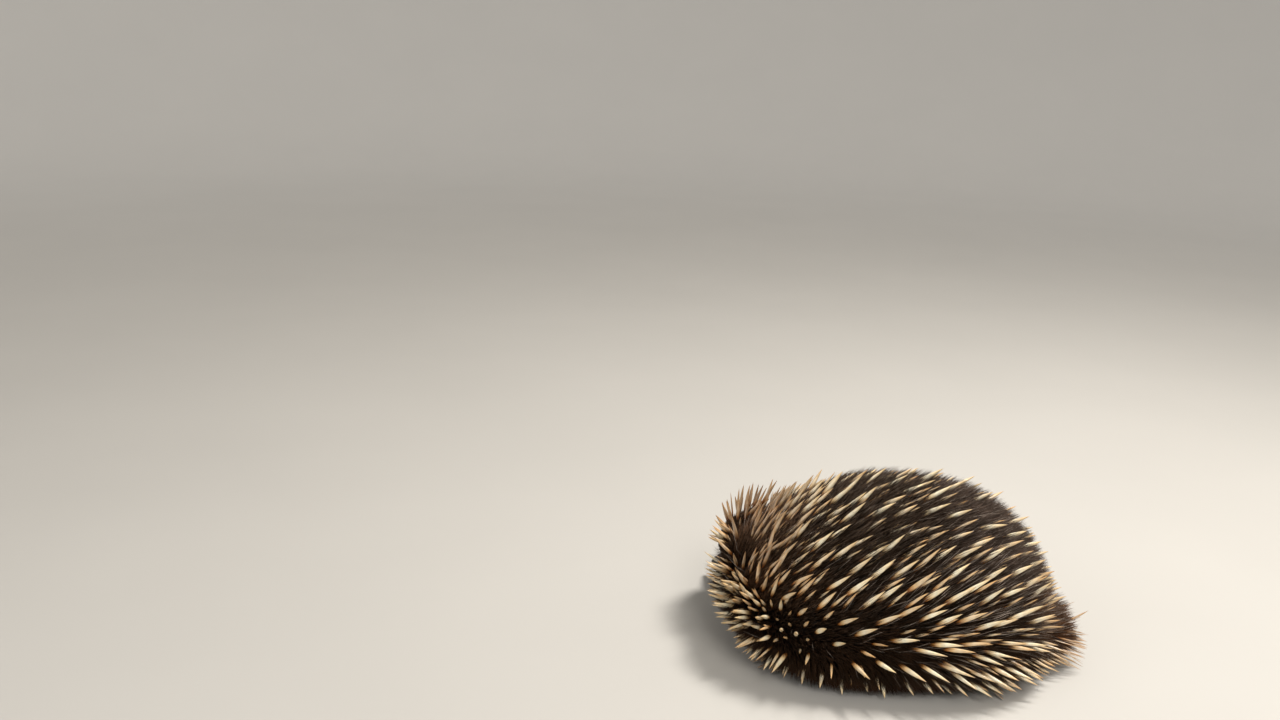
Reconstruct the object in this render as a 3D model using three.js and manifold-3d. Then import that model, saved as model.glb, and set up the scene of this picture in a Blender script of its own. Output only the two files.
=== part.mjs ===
// A short-beaked echidna, life size, hunkered down on flat ground with its head bowed and turned to
// its right. Millimetres, +Z up. The head end points to -X and the animal's left side to -Y. The
// origin is the middle of the whole footprint, on the floor.
//
// The trunk and neck are one low dome that reaches to the tips of the spines. The head, tail, legs,
// feet and claws are let into its underside and its right front edge.

import * as THREE from 'three';
import { mergeVertices } from 'three/addons/utils/BufferGeometryUtils.js';
import Module from 'manifold-3d';

const wasm = await Module();
wasm.setup();

const GAP = 0.35; // clear space between pieces that meet
const MERGE_WITHIN = 1e-4;
const DEGREE = Math.PI / 180;

// Driving sizes of the dome, out to the spine tips, before the whole animal is centred.
const DOME = {
  front: -168,
  rear: 170,
  halfWidth: 130,
  widestAt: 0,
  widthPower: { front: 3.5, rear: 2.8 },
  height: 173,
  highestAt: 16,
  heightPower: { front: 2, rear: 2.5 },
  waist: 45, // height of the widest line at mid length
  waistFront: 68,
  waistRear: 26,
  undersidePower: 4.5,
  undersideRound: 0.5,
  bend: 31, // how far the front end swings to the animal's right
  bendFrom: -50,
  sunk: 1, // cut off the underside, so that the belly ends in a flat
  rings: 22,
  sides: 30,
};
const NECK_CUT = { x: -80, lean: 14 * DEGREE };
const TAIL = { centre: [150, 0, 28], size: [41, 37, 30], droop: 8 * DEGREE, rings: 10, sides: 16 };

// The head, in its own frame: the beak points to -X and the crown to +Z.
const HEAD = {
  centre: [-124, 62, 70],
  pitch: 38 * DEGREE,
  turn: 60 * DEGREE,
  faceLength: 47,
  backLength: 32,
  halfWidth: 27,
  halfHeight: 25,
  narrowing: 0.26, // how much the face narrows towards the beak
  browFall: 5, // how far the face slopes below the axis at the beak
};
const BEAK = {
  root: -27,
  length: 59,
  rootWidth: 11.5,
  rootHeight: 10.5,
  tipRadius: 4,
  taperPower: 0.8,
  fullness: 0.45,
  drop: 6, // the root lies this far below the head's axis
  rise: 4, // how far the tip curves upwards
};
const EYE = { radius: 4.3, at: [-29, 12.8, 3.5] };
const ORBIT = { at: [-29.5, 18.5, 3.5], size: [7.5, 6, 6.5] };
const EAR = { at: [-1, 25.4, -3], size: [2.8, 2.6, 9], lean: 12 * DEGREE };
const FACE_CLEARING = { centre: [-64, 0, 6], size: [60, 48, 48] };

// Legs. Every foot has five claws, and each leg has its own stance: side is -1 on the left, y is the
// distance from the middle line, and turn is how far the toes point outwards from straight ahead.
const FORE = { thickness: 17, footSize: [21, 19, 9.5], clawLength: 25, clawWidth: 2.9, clawStep: 6.6 };
const HIND = { thickness: 21, footSize: [22, 17, 9.5], clawLength: 22, clawWidth: 2.5, clawStep: 5.8 };
const CLAW_SHARES = {
  fore: [0.74, 0.95, 1, 0.95, 0.76], // claw lengths from the inner toe outwards
  hind: [0.5, 1.4, 1.05, 0.75, 0.55], // the second one is the long grooming claw
};
const STANCE = {
  fore_left: { limb: FORE, side: -1, top: [-58, 40, 52], wrist: [-74, 50, 17], turn: 10 * DEGREE },
  fore_right: { limb: FORE, side: 1, top: [-60, 64, 52], wrist: [-76, 104, 17], turn: 42 * DEGREE },
  hind_left: { limb: HIND, side: -1, top: [68, 38, 48], wrist: [78, 48, 18], turn: 140 * DEGREE },
  hind_right: { limb: HIND, side: 1, top: [74, 56, 48], wrist: [88, 88, 18], turn: 112 * DEGREE },
};
const LIMB = { upperSwell: 1.08, taper: 0.14, endRound: 0.55, fullness: 0.7 };
const FOOT = { middleHeight: 0.8, splay: 0.14, toeFall: 0.25 };
const CLAW = {
  spread: 9 * DEGREE, // between one claw and the next
  root: 0.72, // where the middle one starts, as a share of half the foot's length
  setBack: 1.6, // how much further back each next one outwards starts, growing as its square
  rootHeight: 7.2,
  fall: 5,
  fallPower: 1.5,
  flatness: 0.6,
  narrowing: 0.45,
  fullness: 0.45,
};
const FOOT_ROOM = { around: 2.4, fullness: 0.5, height: 1.22, toeFall: 0.5, toeTaper: 0.12 };

const MATERIALS = {
  spine: { color: 0xc8a876, roughness: 0.55, metalness: 0 },
  coat: { color: 0x2a1d14, roughness: 0.85, metalness: 0 },
  face: { color: 0x3a2c22, roughness: 0.8, metalness: 0 },
  beak: { color: 0x3b3532, roughness: 0.5, metalness: 0 },
  claw: { color: 0x4a4038, roughness: 0.45, metalness: 0 },
  eye: { color: 0x0a0807, roughness: 0.08, metalness: 0 },
};

const echidna = new THREE.Group();

// Solids and geometries

function toSolid(geometry) {
  const bare = geometry.clone();
  bare.deleteAttribute('normal');
  bare.deleteAttribute('uv');
  const merged = mergeVertices(bare, MERGE_WITHIN);
  return new wasm.Manifold(
    new wasm.Mesh({
      numProp: 3,
      vertProperties: merged.attributes.position.array,
      triVerts: new Uint32Array(merged.index.array),
    }),
  );
}

function toGeometry(solid) {
  const mesh = solid.getMesh();
  const geometry = new THREE.BufferGeometry();
  geometry.setAttribute('position', new THREE.BufferAttribute(mesh.vertProperties, 3));
  geometry.setIndex(new THREE.BufferAttribute(mesh.triVerts, 1));
  const faceted = geometry.toNonIndexed();
  faceted.computeVertexNormals();
  return faceted;
}

// Only the largest body of a solid that a cut may have left in pieces.
function largest(solid) {
  return solid.decompose().reduce((a, b) => (a.volume() > b.volume() ? a : b));
}

function cutAway(solid, cutters) {
  return cutters.reduce((left, cutter) => left.subtract(cutter), solid);
}

function add(name, solid, look) {
  const mesh = new THREE.Mesh(toGeometry(largest(solid)), new THREE.MeshStandardMaterial(MATERIALS[look]));
  mesh.name = name;
  echidna.add(mesh);
}

// A closed shape from a unit ball with its poles on X: place(direction) gives each point.
function fromBall(rings, sides, place) {
  const ball = new THREE.SphereGeometry(1, sides, rings).rotateZ(Math.PI / 2);
  const points = ball.attributes.position;
  const direction = new THREE.Vector3();
  for (let i = 0; i < points.count; i += 1) {
    const point = place(direction.fromBufferAttribute(points, i));
    points.setXYZ(i, point.x, point.y, point.z);
  }
  return ball;
}

function ellipsoid(rings, sides, size, grow = 0) {
  return fromBall(rings, sides, (d) => new THREE.Vector3(
    d.x * (size[0] + grow),
    d.y * (size[1] + grow),
    d.z * (size[2] + grow),
  ));
}

// How far the section at direction d is filled out, 1 or more: a lower power gives blunter ends.
function fillOut(d, power) {
  const around = Math.hypot(d.y, d.z);
  return around ** power / (around || 1);
}

const ROOM = 600;
const aboveFloor = toSolid(new THREE.BoxGeometry(ROOM, ROOM, ROOM).translate(0, 0, ROOM / 2));

// The dome of the neck and trunk

// How much of its full width or height the dome has at x, from 1 at its peak to 0 at either end.
function swell(x, peakAt, power) {
  const [end, exponent] = x < peakAt ? [DOME.front, power.front] : [DOME.rear, power.rear];
  const share = Math.min(1, Math.abs((x - peakAt) / (end - peakAt)));
  return Math.sqrt(Math.max(0, 1 - share ** exponent));
}

function bendAt(x) {
  const share = Math.max(0, (x - DOME.bendFrom) / (DOME.front - DOME.bendFrom));
  return DOME.bend * share ** 2;
}

function waistAt(x) {
  const end = x < 0 ? DOME.front : DOME.rear;
  return THREE.MathUtils.lerp(DOME.waist, x < 0 ? DOME.waistFront : DOME.waistRear, (x / end) ** 2);
}

function domePoint(direction) {
  const x = direction.x < 0 ? -direction.x * DOME.front : direction.x * DOME.rear;
  const around = Math.hypot(direction.y, direction.z) || 1;
  const across = direction.y / around;
  const up = direction.z / around;
  const underside = { front: DOME.undersidePower, rear: DOME.undersidePower };
  const waist = waistAt(x);
  const above = (DOME.height - waist) * swell(x, DOME.highestAt, DOME.heightPower);
  const below = waist * swell(x, 0, underside);
  const rise = up > 0 ? above * up : -below * (-up) ** DOME.undersideRound;
  const halfWidth = DOME.halfWidth * swell(x, DOME.widestAt, DOME.widthPower);
  return new THREE.Vector3(x, halfWidth * across + bendAt(x), waist + rise - DOME.sunk);
}

const dome = toSolid(fromBall(DOME.rings, DOME.sides, domePoint)).intersect(aboveFloor);

// The tail

function tailSolid(grow) {
  const shape = ellipsoid(TAIL.rings, TAIL.sides, TAIL.size, grow);
  return toSolid(shape.rotateY(TAIL.droop).translate(...TAIL.centre)).intersect(aboveFloor);
}

add('tail', tailSolid(0), 'spine');

// Legs, feet and claws

// A stout limb between two points, a little thicker at its upper end.
function limbShape(from, to, radius, grow) {
  const axis = new THREE.Vector3().subVectors(to, from);
  const half = axis.length() / 2 + radius * LIMB.endRound;
  const turn = new THREE.Quaternion().setFromUnitVectors(new THREE.Vector3(1, 0, 0), axis.normalize());
  const middle = new THREE.Vector3().addVectors(from, to).multiplyScalar(0.5);
  const shape = fromBall(7, 10, (d) => {
    const thick = (radius + grow) * (LIMB.upperSwell - LIMB.taper * d.x) * fillOut(d, LIMB.fullness);
    return new THREE.Vector3(d.x * (half + grow), d.y * thick, d.z * thick);
  });
  return shape.applyQuaternion(turn).translate(middle.x, middle.y, middle.z);
}

// A foot in its own frame: the toes point to -X, the sole lies at z = 0.
function footShape(limb, grow) {
  const [length, width, height] = limb.footSize;
  return fromBall(7, 10, (d) => {
    const forward = Math.max(0, -d.x);
    return new THREE.Vector3(
      d.x * (length + grow),
      d.y * (width + grow) * (1 + FOOT.splay * forward),
      height * FOOT.middleHeight + d.z * (height + grow) * (1 - FOOT.toeFall * forward),
    );
  });
}

// A claw in the same frame, step places out from the middle one: a flat blade that bends down to a
// blunt tip.
function clawShape(limb, share, step, grow) {
  const length = limb.clawLength * share;
  const shape = fromBall(5, 6, (d) => {
    const along = (1 - d.x) / 2;
    const filled = fillOut(d, CLAW.fullness);
    const width = limb.clawWidth * (1 - CLAW.narrowing * along ** 2);
    return new THREE.Vector3(
      -length * along + grow * d.x,
      d.y * filled * (width + grow),
      CLAW.rootHeight - CLAW.fall * along ** CLAW.fallPower + d.z * filled * (width * CLAW.flatness + grow),
    );
  });
  const rootX = CLAW.setBack * step ** 2 - limb.footSize[0] * CLAW.root;
  return shape.rotateZ(CLAW.spread * -step).translate(rootX, limb.clawStep * step, 0);
}

// The room that a foot and its claws take up under the dome, lower and narrower over the claws.
function footRoom(limb, shares) {
  const [length, width, height] = limb.footSize;
  const toTip = length * CLAW.root + limb.clawLength * Math.max(...shares);
  const halfLength = (length + toTip) / 2 + FOOT_ROOM.around;
  const top = height * (1 + FOOT.middleHeight) * FOOT_ROOM.height;
  return fromBall(7, 10, (d) => {
    const filled = fillOut(d, FOOT_ROOM.fullness);
    const forward = Math.max(0, -d.x);
    const halfWidth = width * (1 + FOOT.splay) + FOOT_ROOM.around;
    return new THREE.Vector3(
      d.x * halfLength + (length - toTip) / 2,
      d.y * filled * halfWidth * (1 - FOOT_ROOM.toeTaper * forward),
      d.z * filled * top * (1 - FOOT_ROOM.toeFall * forward),
    );
  });
}

function addLeg(name, stance) {
  const { limb, side } = stance;
  const shares = CLAW_SHARES[name.startsWith('fore') ? 'fore' : 'hind'];
  const place = new THREE.Matrix4()
    .makeTranslation(stance.wrist[0], stance.wrist[1] * side, 0)
    .multiply(new THREE.Matrix4().makeRotationZ(-stance.turn * side));
  const placed = (geometry) => toSolid(geometry.applyMatrix4(place));
  const from = new THREE.Vector3(stance.top[0], stance.top[1] * side, stance.top[2]);
  const to = new THREE.Vector3(stance.wrist[0], stance.wrist[1] * side, stance.wrist[2]);
  const clawCutters = shares.map((share, i) => {
    const step = (i - (shares.length - 1) / 2) * side;
    const claw = placed(clawShape(limb, share, step, 0)).intersect(aboveFloor);
    add(`claw_${name}_${i + 1}`, claw, 'claw');
    return placed(clawShape(limb, share, step, GAP));
  });
  const foot = cutAway(placed(footShape(limb, 0)).intersect(aboveFloor), clawCutters);
  add(`foot_${name}`, foot, 'coat');
  const leg = toSolid(limbShape(from, to, limb.thickness, 0)).intersect(aboveFloor);
  add(`leg_${name}`, cutAway(leg, [placed(footShape(limb, GAP)), ...clawCutters]), 'coat');
  return [placed(footRoom(limb, shares)), toSolid(limbShape(from, to, limb.thickness, GAP))];
}

const limbCutters = Object.entries(STANCE).flatMap(([name, stance]) => addLeg(name, stance));

// The head and what it carries

const headPlace = new THREE.Matrix4()
  .makeTranslation(...HEAD.centre)
  .multiply(new THREE.Matrix4().makeRotationZ(-HEAD.turn))
  .multiply(new THREE.Matrix4().makeRotationY(-HEAD.pitch));

function onHead(geometry) {
  return toSolid(geometry.applyMatrix4(headPlace)).intersect(aboveFloor);
}

// The cranium narrows from its widest place to the root of the beak.
function headShape(grow) {
  return fromBall(13, 18, (d) => {
    const forward = Math.max(0, -d.x);
    const length = d.x < 0 ? HEAD.faceLength : HEAD.backLength;
    const taper = 1 - HEAD.narrowing * forward ** 2;
    return new THREE.Vector3(
      d.x * (length + grow),
      d.y * (HEAD.halfWidth + grow) * taper,
      d.z * (HEAD.halfHeight + grow) * taper - HEAD.browFall * forward ** 2,
    );
  });
}

function beakShape(grow) {
  return fromBall(12, 12, (d) => {
    const along = (1 - d.x) / 2;
    const width = THREE.MathUtils.lerp(BEAK.rootWidth, BEAK.tipRadius, along ** BEAK.taperPower);
    const height = THREE.MathUtils.lerp(BEAK.rootHeight, BEAK.tipRadius, along ** BEAK.taperPower);
    const filled = fillOut(d, BEAK.fullness);
    return new THREE.Vector3(
      BEAK.root - BEAK.length * along + grow * d.x,
      d.y * filled * (width + grow),
      d.z * filled * (height + grow) - BEAK.drop + BEAK.rise * along ** 2,
    );
  });
}

function eyeShape(side, grow) {
  const [x, y, z] = EYE.at;
  return ellipsoid(8, 10, [EYE.radius, EYE.radius, EYE.radius], grow).translate(x, y * side, z);
}

function orbitShape(side) {
  const [x, y, z] = ORBIT.at;
  return ellipsoid(6, 8, ORBIT.size).translate(x, y * side, z);
}

function earShape(side, grow) {
  const [x, y, z] = EAR.at;
  return ellipsoid(6, 8, EAR.size, grow).rotateY(EAR.lean).translate(x, y * side, z);
}

const beakCutter = onHead(beakShape(GAP));
const sideCutters = Object.entries({ left: -1, right: 1 }).flatMap(([name, side]) => {
  add(`eye_${name}`, onHead(eyeShape(side, 0)), 'eye');
  add(`ear_${name}`, onHead(earShape(side, 0)), 'face');
  return [onHead(eyeShape(side, GAP)), onHead(orbitShape(side)), onHead(earShape(side, GAP))];
});
add('beak', onHead(beakShape(0)), 'beak');
add('head', cutAway(onHead(headShape(0)), [beakCutter, ...sideCutters]), 'face');

// The neck and the trunk, parted by a thin leaning cut

const faceClearing = onHead(ellipsoid(10, 14, FACE_CLEARING.size).translate(...FACE_CLEARING.centre));
const headCutters = [onHead(headShape(GAP)), beakCutter, ...sideCutters, faceClearing];
const body = cutAway(dome, [...limbCutters, ...headCutters, tailSolid(GAP)]);

function neckBlock(shift) {
  return toSolid(
    new THREE.BoxGeometry(ROOM, 2 * ROOM, 2 * ROOM)
      .translate(-ROOM / 2, 0, 0)
      .rotateY(NECK_CUT.lean)
      .translate(NECK_CUT.x + shift, 0, 0),
  );
}

add('neck', body.intersect(neckBlock(-GAP / 2)), 'spine');
add('trunk', body.subtract(neckBlock(GAP / 2)), 'spine');

const middle = new THREE.Box3().setFromObject(echidna).getCenter(new THREE.Vector3());
echidna.position.set(-middle.x, -middle.y, 0);

export default echidna;
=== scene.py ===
# The looks of a short-beaked echidna, life size, hunkered down with its head bowed. Everything is in
# metres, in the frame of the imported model: the head end points to -X, the animal's left side to -Y.

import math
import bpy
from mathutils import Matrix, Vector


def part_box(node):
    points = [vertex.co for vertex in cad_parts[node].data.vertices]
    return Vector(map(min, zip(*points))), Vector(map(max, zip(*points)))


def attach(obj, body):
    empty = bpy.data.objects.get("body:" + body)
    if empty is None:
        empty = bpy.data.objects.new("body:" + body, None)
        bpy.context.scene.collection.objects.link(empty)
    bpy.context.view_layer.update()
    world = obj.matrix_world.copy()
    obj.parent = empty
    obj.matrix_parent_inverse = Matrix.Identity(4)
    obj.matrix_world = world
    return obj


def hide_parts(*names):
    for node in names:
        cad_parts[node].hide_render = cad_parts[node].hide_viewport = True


bl_info = {
    "name": "Hunkered echidna",
    "version": (1, 0, 0),
    "blender": (4, 5, 0),
    "location": "View3D > Sidebar > Echidna",
    "description": "Skin, eyes, claws, spines and fur of a life-size echidna, over its packed solids",
    "category": "Object",
}

import bmesh
import bpy
import numpy as np
from mathutils import Matrix, Vector
from mathutils.kdtree import KDTree

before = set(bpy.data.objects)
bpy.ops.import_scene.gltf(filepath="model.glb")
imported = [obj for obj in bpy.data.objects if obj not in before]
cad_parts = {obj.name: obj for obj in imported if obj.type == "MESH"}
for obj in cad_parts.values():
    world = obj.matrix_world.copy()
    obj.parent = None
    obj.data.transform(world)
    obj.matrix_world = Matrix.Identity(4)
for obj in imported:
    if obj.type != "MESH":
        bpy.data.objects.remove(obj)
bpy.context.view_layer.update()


def corners(node):
    low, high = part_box(node)
    return np.array(low), np.array(high)


def middle(node):
    low, high = corners(node)
    return (low + high) / 2


LEGS = ("fore_left", "fore_right", "hind_left", "hind_right")
SIDES = {"left": -1, "right": 1}
TRUNK_LOW, TRUNK_HIGH = corners("trunk")
NECK_LOW, _ = corners("neck")

# The dome of the trunk and neck, out to the spine tips, in the shape that the solids have.
DOME_FRONT_LENGTH = 0.168
DOME_REAR_LENGTH = 0.170
DOME_HIGHEST = 0.016
DOME_WIDTH_POWERS = (3.5, 2.8)
DOME_HEIGHT_POWERS = (2.0, 2.5)
DOME_UNDER_POWERS = (4.5, 4.5)
DOME_WAIST = 0.045
DOME_WAIST_ENDS = (0.068, 0.026)
DOME_BEND = 0.031
DOME_BEND_FROM = -0.050
DOME_X = NECK_LOW[0] + DOME_FRONT_LENGTH
DOME_Y = (TRUNK_LOW[1] + TRUNK_HIGH[1]) / 2
DOME_HALF_WIDTH = (TRUNK_HIGH[1] - TRUNK_LOW[1]) / 2
DOME_HEIGHT = TRUNK_HIGH[2] + 0.001

# How far the spines lean towards the tail and towards the middle of the back, as factors of 1, s, ss, u, us,
# uu, uss and uus, where s is the share of the body's length and u is how far the skin faces up.
LEAN_BACK = (-1.085, 3.818, 0.048, 4.370, -4.575, -3.443, -3.752, 5.573)
LEAN_UP = (0.636, 0.334, -2.679, -2.242, 14.552, 2.402, -0.516, -14.636)
LEAN_BACK_RANGE = (0.05, 2.6)
LEAN_UP_RANGE = (-0.8, 1.3)
LOWEST_FACING = -0.4

# The head, in its own frame: the beak points to -X and the crown to +Z.
EYE_PLACE = np.array((-0.029, 0.0128, 0.0035))
EAR_PLACE = np.array((-0.001, 0.0232, -0.003))
EAR_SIZE = (0.0040, 0.0030, 0.0085)
BEAK_TIP = -0.086

# How much larger than its solid the outline of the tail's coat is.
TAIL_ROOM = np.array((1.04, 1.35, 1.7))

# The patch of each tuft on the map that its colour is baked to, and the middle that the map is unwrapped from.
PATCH = 0.003
MAP_NAME = "OFBake"
COAT_MIDDLE = np.array((DOME_X, DOME_Y, 0.05))
PIECE_TRIANGLES = 180000

# The lowest that anything goes, so that the feet and the coat rest on the floor and don't lie in it.
OVER_FLOOR = 0.0003

# The thickness of each kind of shaft along its length, as shares of its widest and of its length.
SPINE_PROFILE = (
    (0, 0.36),
    (0.16, 0.46),
    (0.28, 0.76),
    (0.38, 0.94),
    (0.50, 1.0),
    (0.64, 0.90),
    (0.78, 0.66),
    (0.90, 0.34),
    (0.97, 0.12),
    (1, 0),
)
LOCK_PROFILE = ((0, 0.8), (0.5, 0.95), (1, 0))
HAIR_PROFILE = ((0, 0.8), (0.45, 1.0), (1, 0))

# What each kind of tuft is seeded with. The legs add their number.
SEEDS = {"spines": 11, "fur": 23, "guard_hairs": 31, "face_fur": 41, "leg_fur": 50}


def metres(name, description, default):
    return bpy.props.FloatProperty(
        name=name, description=description, default=default, unit="LENGTH", precision=4
    )


def angle(name, description, degrees):
    return bpy.props.FloatProperty(
        name=name, description=description, default=math.radians(degrees), subtype="ANGLE"
    )


def factor(name, description, default):
    return bpy.props.FloatProperty(name=name, description=description, default=default, min=0.0, soft_max=4.0)


def count(name, description, default):
    return bpy.props.IntProperty(name=name, description=description, default=default, min=0)


def colour(name, description, default):
    return bpy.props.FloatVectorProperty(
        name=name, description=description, default=default, size=3, min=0.0, max=1.0, subtype="COLOR"
    )


class EchidnaBody(bpy.types.PropertyGroup):
    coat_front: metres("Coat at the nape", "Depth from the spine tips to the skin at the front end", 0.035)
    coat_rear: metres("Coat at the rump", "Depth from the spine tips to the skin at the rear end", 0.034)
    coat_side: metres("Coat at the flanks", "Depth from the spine tips to the skin at the sides", 0.033)
    coat_top: metres("Coat on the back", "Depth from the spine tips to the skin on top", 0.020)
    coat_belly: metres("Coat at the belly", "Height of the belly's skin over the floor", 0.006)
    voxel: metres("Skin detail", "Edge length of the skin's facets on the body", 0.0018)


class EchidnaHead(bpy.types.PropertyGroup):
    pitch: angle("Bow", "How far the head is bowed", 38)
    turn: angle("Turn", "How far the head is turned to the animal's right", 60)
    half_width: metres("Half width", "Half of the cranium's width, under the fur", 0.0232)
    half_height: metres("Half height", "Half of the cranium's height, under the fur", 0.0212)
    face_length: metres("Face", "From the middle of the cranium to its front", 0.0445)
    back_length: metres("Back", "From the middle of the cranium to its back", 0.030)
    eye_radius: metres("Eye", "Radius of the eyeball", 0.0043)
    lid_width: angle("Lid width", "Half of the opening's width between the lids, seen from the eye", 49)
    lid_height: angle("Lid height", "Half of the opening's height between the lids, seen from the eye", 38)
    lid_thickness: metres("Lid", "How far the lids stand out of the eyeball", 0.0002)
    beak_length: metres("Beak", "From the beak's root inside the head to its tip", 0.059)
    beak_root: metres("Beak root", "Half of the beak's width at its root", 0.0114)
    beak_tip: metres("Beak tip", "Half of the beak's width near its tip", 0.0039)


class EchidnaSpines(bpy.types.PropertyGroup):
    length: metres("Length", "Length of a large spine, root and all", 0.044)
    width: metres("Thickness", "Thickness of a large spine at its widest", 0.0042)
    spacing: metres("Spacing", "Distance between large spines on the flank's skin", 0.0185)
    gap: metres("Small spacing", "Distance kept by the small spines between them", 0.0112)
    jitter: factor("Jitter", "How much the spines' directions stray", 0.11)


class EchidnaFur(bpy.types.PropertyGroup):
    body_tufts: count("Body tufts", "Number of fine locks of fur on the body", 100000)
    face_tufts: count("Face tufts", "Number of short locks on the face", 14000)
    leg_tufts: count("Leg tufts", "Number of short locks on each leg", 2200)
    guard_hairs: count("Guard hairs", "Number of fine pale hairs that stand out of the coat", 2000)
    length: metres("Length", "Length of a lock on the back", 0.033)
    width: metres("Thickness", "Thickness of a lock near its root", 0.00068)
    face_length: metres("Face length", "Length of the longest locks on the face", 0.010)
    leg_length: metres("Leg length", "Length of a lock on a leg", 0.011)
    leg_width: metres("Leg thickness", "Thickness of a lock on a leg", 0.0006)
    guard_width: metres("Guard thickness", "Thickness of a guard hair", 0.00035)


class EchidnaColours(bpy.types.PropertyGroup):
    spine_root: colour("Spine root", "Where a spine leaves the fur", (0.46, 0.19, 0.050))
    spine_body: colour("Spine", "The middle of a spine", (0.90, 0.68, 0.37))
    spine_pale: colour("Pale spine", "The outer half of a spine", (0.98, 0.91, 0.70))
    spine_tip: colour("Spine tip", "The point of a spine", (0.66, 0.47, 0.29))
    fur_black: colour("Black fur", "Fur of the back and flanks", (0.0105, 0.0052, 0.0027))
    fur_brown: colour("Brown fur", "Fur of the nape and the rump", (0.062, 0.027, 0.0115))
    # A painted sheen: grey mixed into the fur on top of the rump, where light glances off the coat.
    fur_painted_sheen: colour("Grey fur", "Painted grey sheen of the fur on top of the rump", (0.036, 0.026, 0.022))
    face_brown: colour("Face fur", "Fur of the face", (0.085, 0.052, 0.034))
    beak: colour("Beak", "Bare skin of the beak", (0.050, 0.041, 0.038))
    claw: colour("Claw", "Horn of the claws", (0.10, 0.072, 0.050))
    eye: colour("Eye", "The eyeball", (0.006, 0.004, 0.003))
    floor: colour("Floor", "The floor and the wall round it", (0.47, 0.455, 0.43))


class EchidnaView(bpy.types.PropertyGroup):
    camera: bpy.props.FloatVectorProperty(
        name="Camera", description="Where the camera stands", default=(-0.1601, -1.0115, 0.5459), size=3,
        subtype="TRANSLATION",
    )
    lens: bpy.props.FloatProperty(name="Lens", description="Focal length in millimetres", default=32.47)
    pitch: angle("Camera pitch", "How far the camera looks down", 15.5)
    turn: angle("Camera turn", "How far the camera is turned to the left from straight ahead", 4.785)
    roll: angle("Camera roll", "How far the camera is rolled", 2.4)


class EchidnaSettings(bpy.types.PropertyGroup):
    body: bpy.props.PointerProperty(type=EchidnaBody)
    head: bpy.props.PointerProperty(type=EchidnaHead)
    spines: bpy.props.PointerProperty(type=EchidnaSpines)
    fur: bpy.props.PointerProperty(type=EchidnaFur)
    colours: bpy.props.PointerProperty(type=EchidnaColours)
    view: bpy.props.PointerProperty(type=EchidnaView)


def settings():
    return bpy.context.scene.echidna


# Small tools


def ease(value, low, high):
    """A smooth step from 0 at low to 1 at high."""
    share = np.clip((value - low) / (high - low), 0.0, 1.0)
    return share * share * (3.0 - 2.0 * share)


def unit(vectors):
    return vectors / np.maximum(np.linalg.norm(vectors, axis=-1, keepdims=True), 1e-9)


def mix(first, second, share):
    return first + (second - first) * np.asarray(share)[..., None]


def add_object(name, mesh):
    made = bpy.data.objects.new(name, mesh)
    bpy.context.scene.collection.objects.link(made)
    return made


def object_from(source, name):
    """Makes a smooth-shaded object of a bmesh, and frees the bmesh."""
    mesh = bpy.data.meshes.new(name)
    source.to_mesh(mesh)
    source.free()
    mesh.shade_smooth()
    return add_object(name, mesh)


def finish_piece(piece, slot, material, *nodes):
    """Gives a piece its material and body, and hides the nodes that it stands for. The slot is not used."""
    piece.data.materials.clear()
    piece.data.materials.append(material)
    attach(piece, "root")
    if nodes:
        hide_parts(*nodes)


def mesh_arrays(mesh):
    """The points and normals of a mesh."""
    points = np.empty(len(mesh.vertices) * 3, np.float32)
    normals = np.empty(len(mesh.vertices) * 3, np.float32)
    mesh.vertices.foreach_get("co", points)
    mesh.vertex_normals.foreach_get("vector", normals)
    return points.reshape(-1, 3).astype(float), normals.reshape(-1, 3).astype(float)


def set_attribute(mesh, name, values):
    """Stores one number, or one colour, for each point of a mesh."""
    if values.ndim == 1:
        mesh.attributes.new(name, "FLOAT", "POINT").data.foreach_set("value", values.astype(np.float32))
        return
    rgba = np.ones((len(values), 4), np.float32)
    rgba[:, :3] = values
    mesh.attributes.new(name, "FLOAT_COLOR", "POINT").data.foreach_set("color", rgba.ravel())


# The body's dome


def dome_swell(x, peak, ends, powers):
    """The dome's share of its full width or height at x, from 1 at its peak to 0 at either end."""
    front = x < peak
    share = np.clip((x - peak) / (np.where(front, ends[0], ends[1]) - peak), 0.0, 1.0)
    return np.sqrt(np.maximum(1.0 - share ** np.where(front, *powers), 0.0))


def dome_bend(x):
    share = np.maximum((x - DOME_BEND_FROM) / (-DOME_FRONT_LENGTH - DOME_BEND_FROM), 0.0)
    return DOME_BEND * share**2


def dome_waist(x, ends):
    share = np.where(x < 0, x / ends[0], x / ends[1]) ** 2
    return DOME_WAIST + (np.where(x < 0, *DOME_WAIST_ENDS) - DOME_WAIST) * share


def dome_points(directions, coat):
    """Where the dome lies in each direction, coat = (front, rear, side, top, floor) metres inside."""
    ends = (coat[0] - DOME_FRONT_LENGTH, DOME_REAR_LENGTH - coat[1])
    x = np.where(directions[:, 0] < 0, -directions[:, 0] * ends[0], directions[:, 0] * ends[1])
    section = unit(directions[:, 1:])
    across, up = section[:, 0], section[:, 1]
    waist = dome_waist(x, ends)
    above = (DOME_HEIGHT - coat[3] - waist) * dome_swell(x, DOME_HIGHEST, ends, DOME_HEIGHT_POWERS)
    below = (waist - coat[4]) * dome_swell(x, 0.0, ends, DOME_UNDER_POWERS)
    rise = np.where(up > 0, above * up, -below * np.sqrt(np.abs(up)))
    width = (DOME_HALF_WIDTH - coat[2]) * dome_swell(x, 0.0, ends, DOME_WIDTH_POWERS)
    return np.stack([x + DOME_X, width * across + dome_bend(x) + DOME_Y, waist + rise], axis=1)


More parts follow.
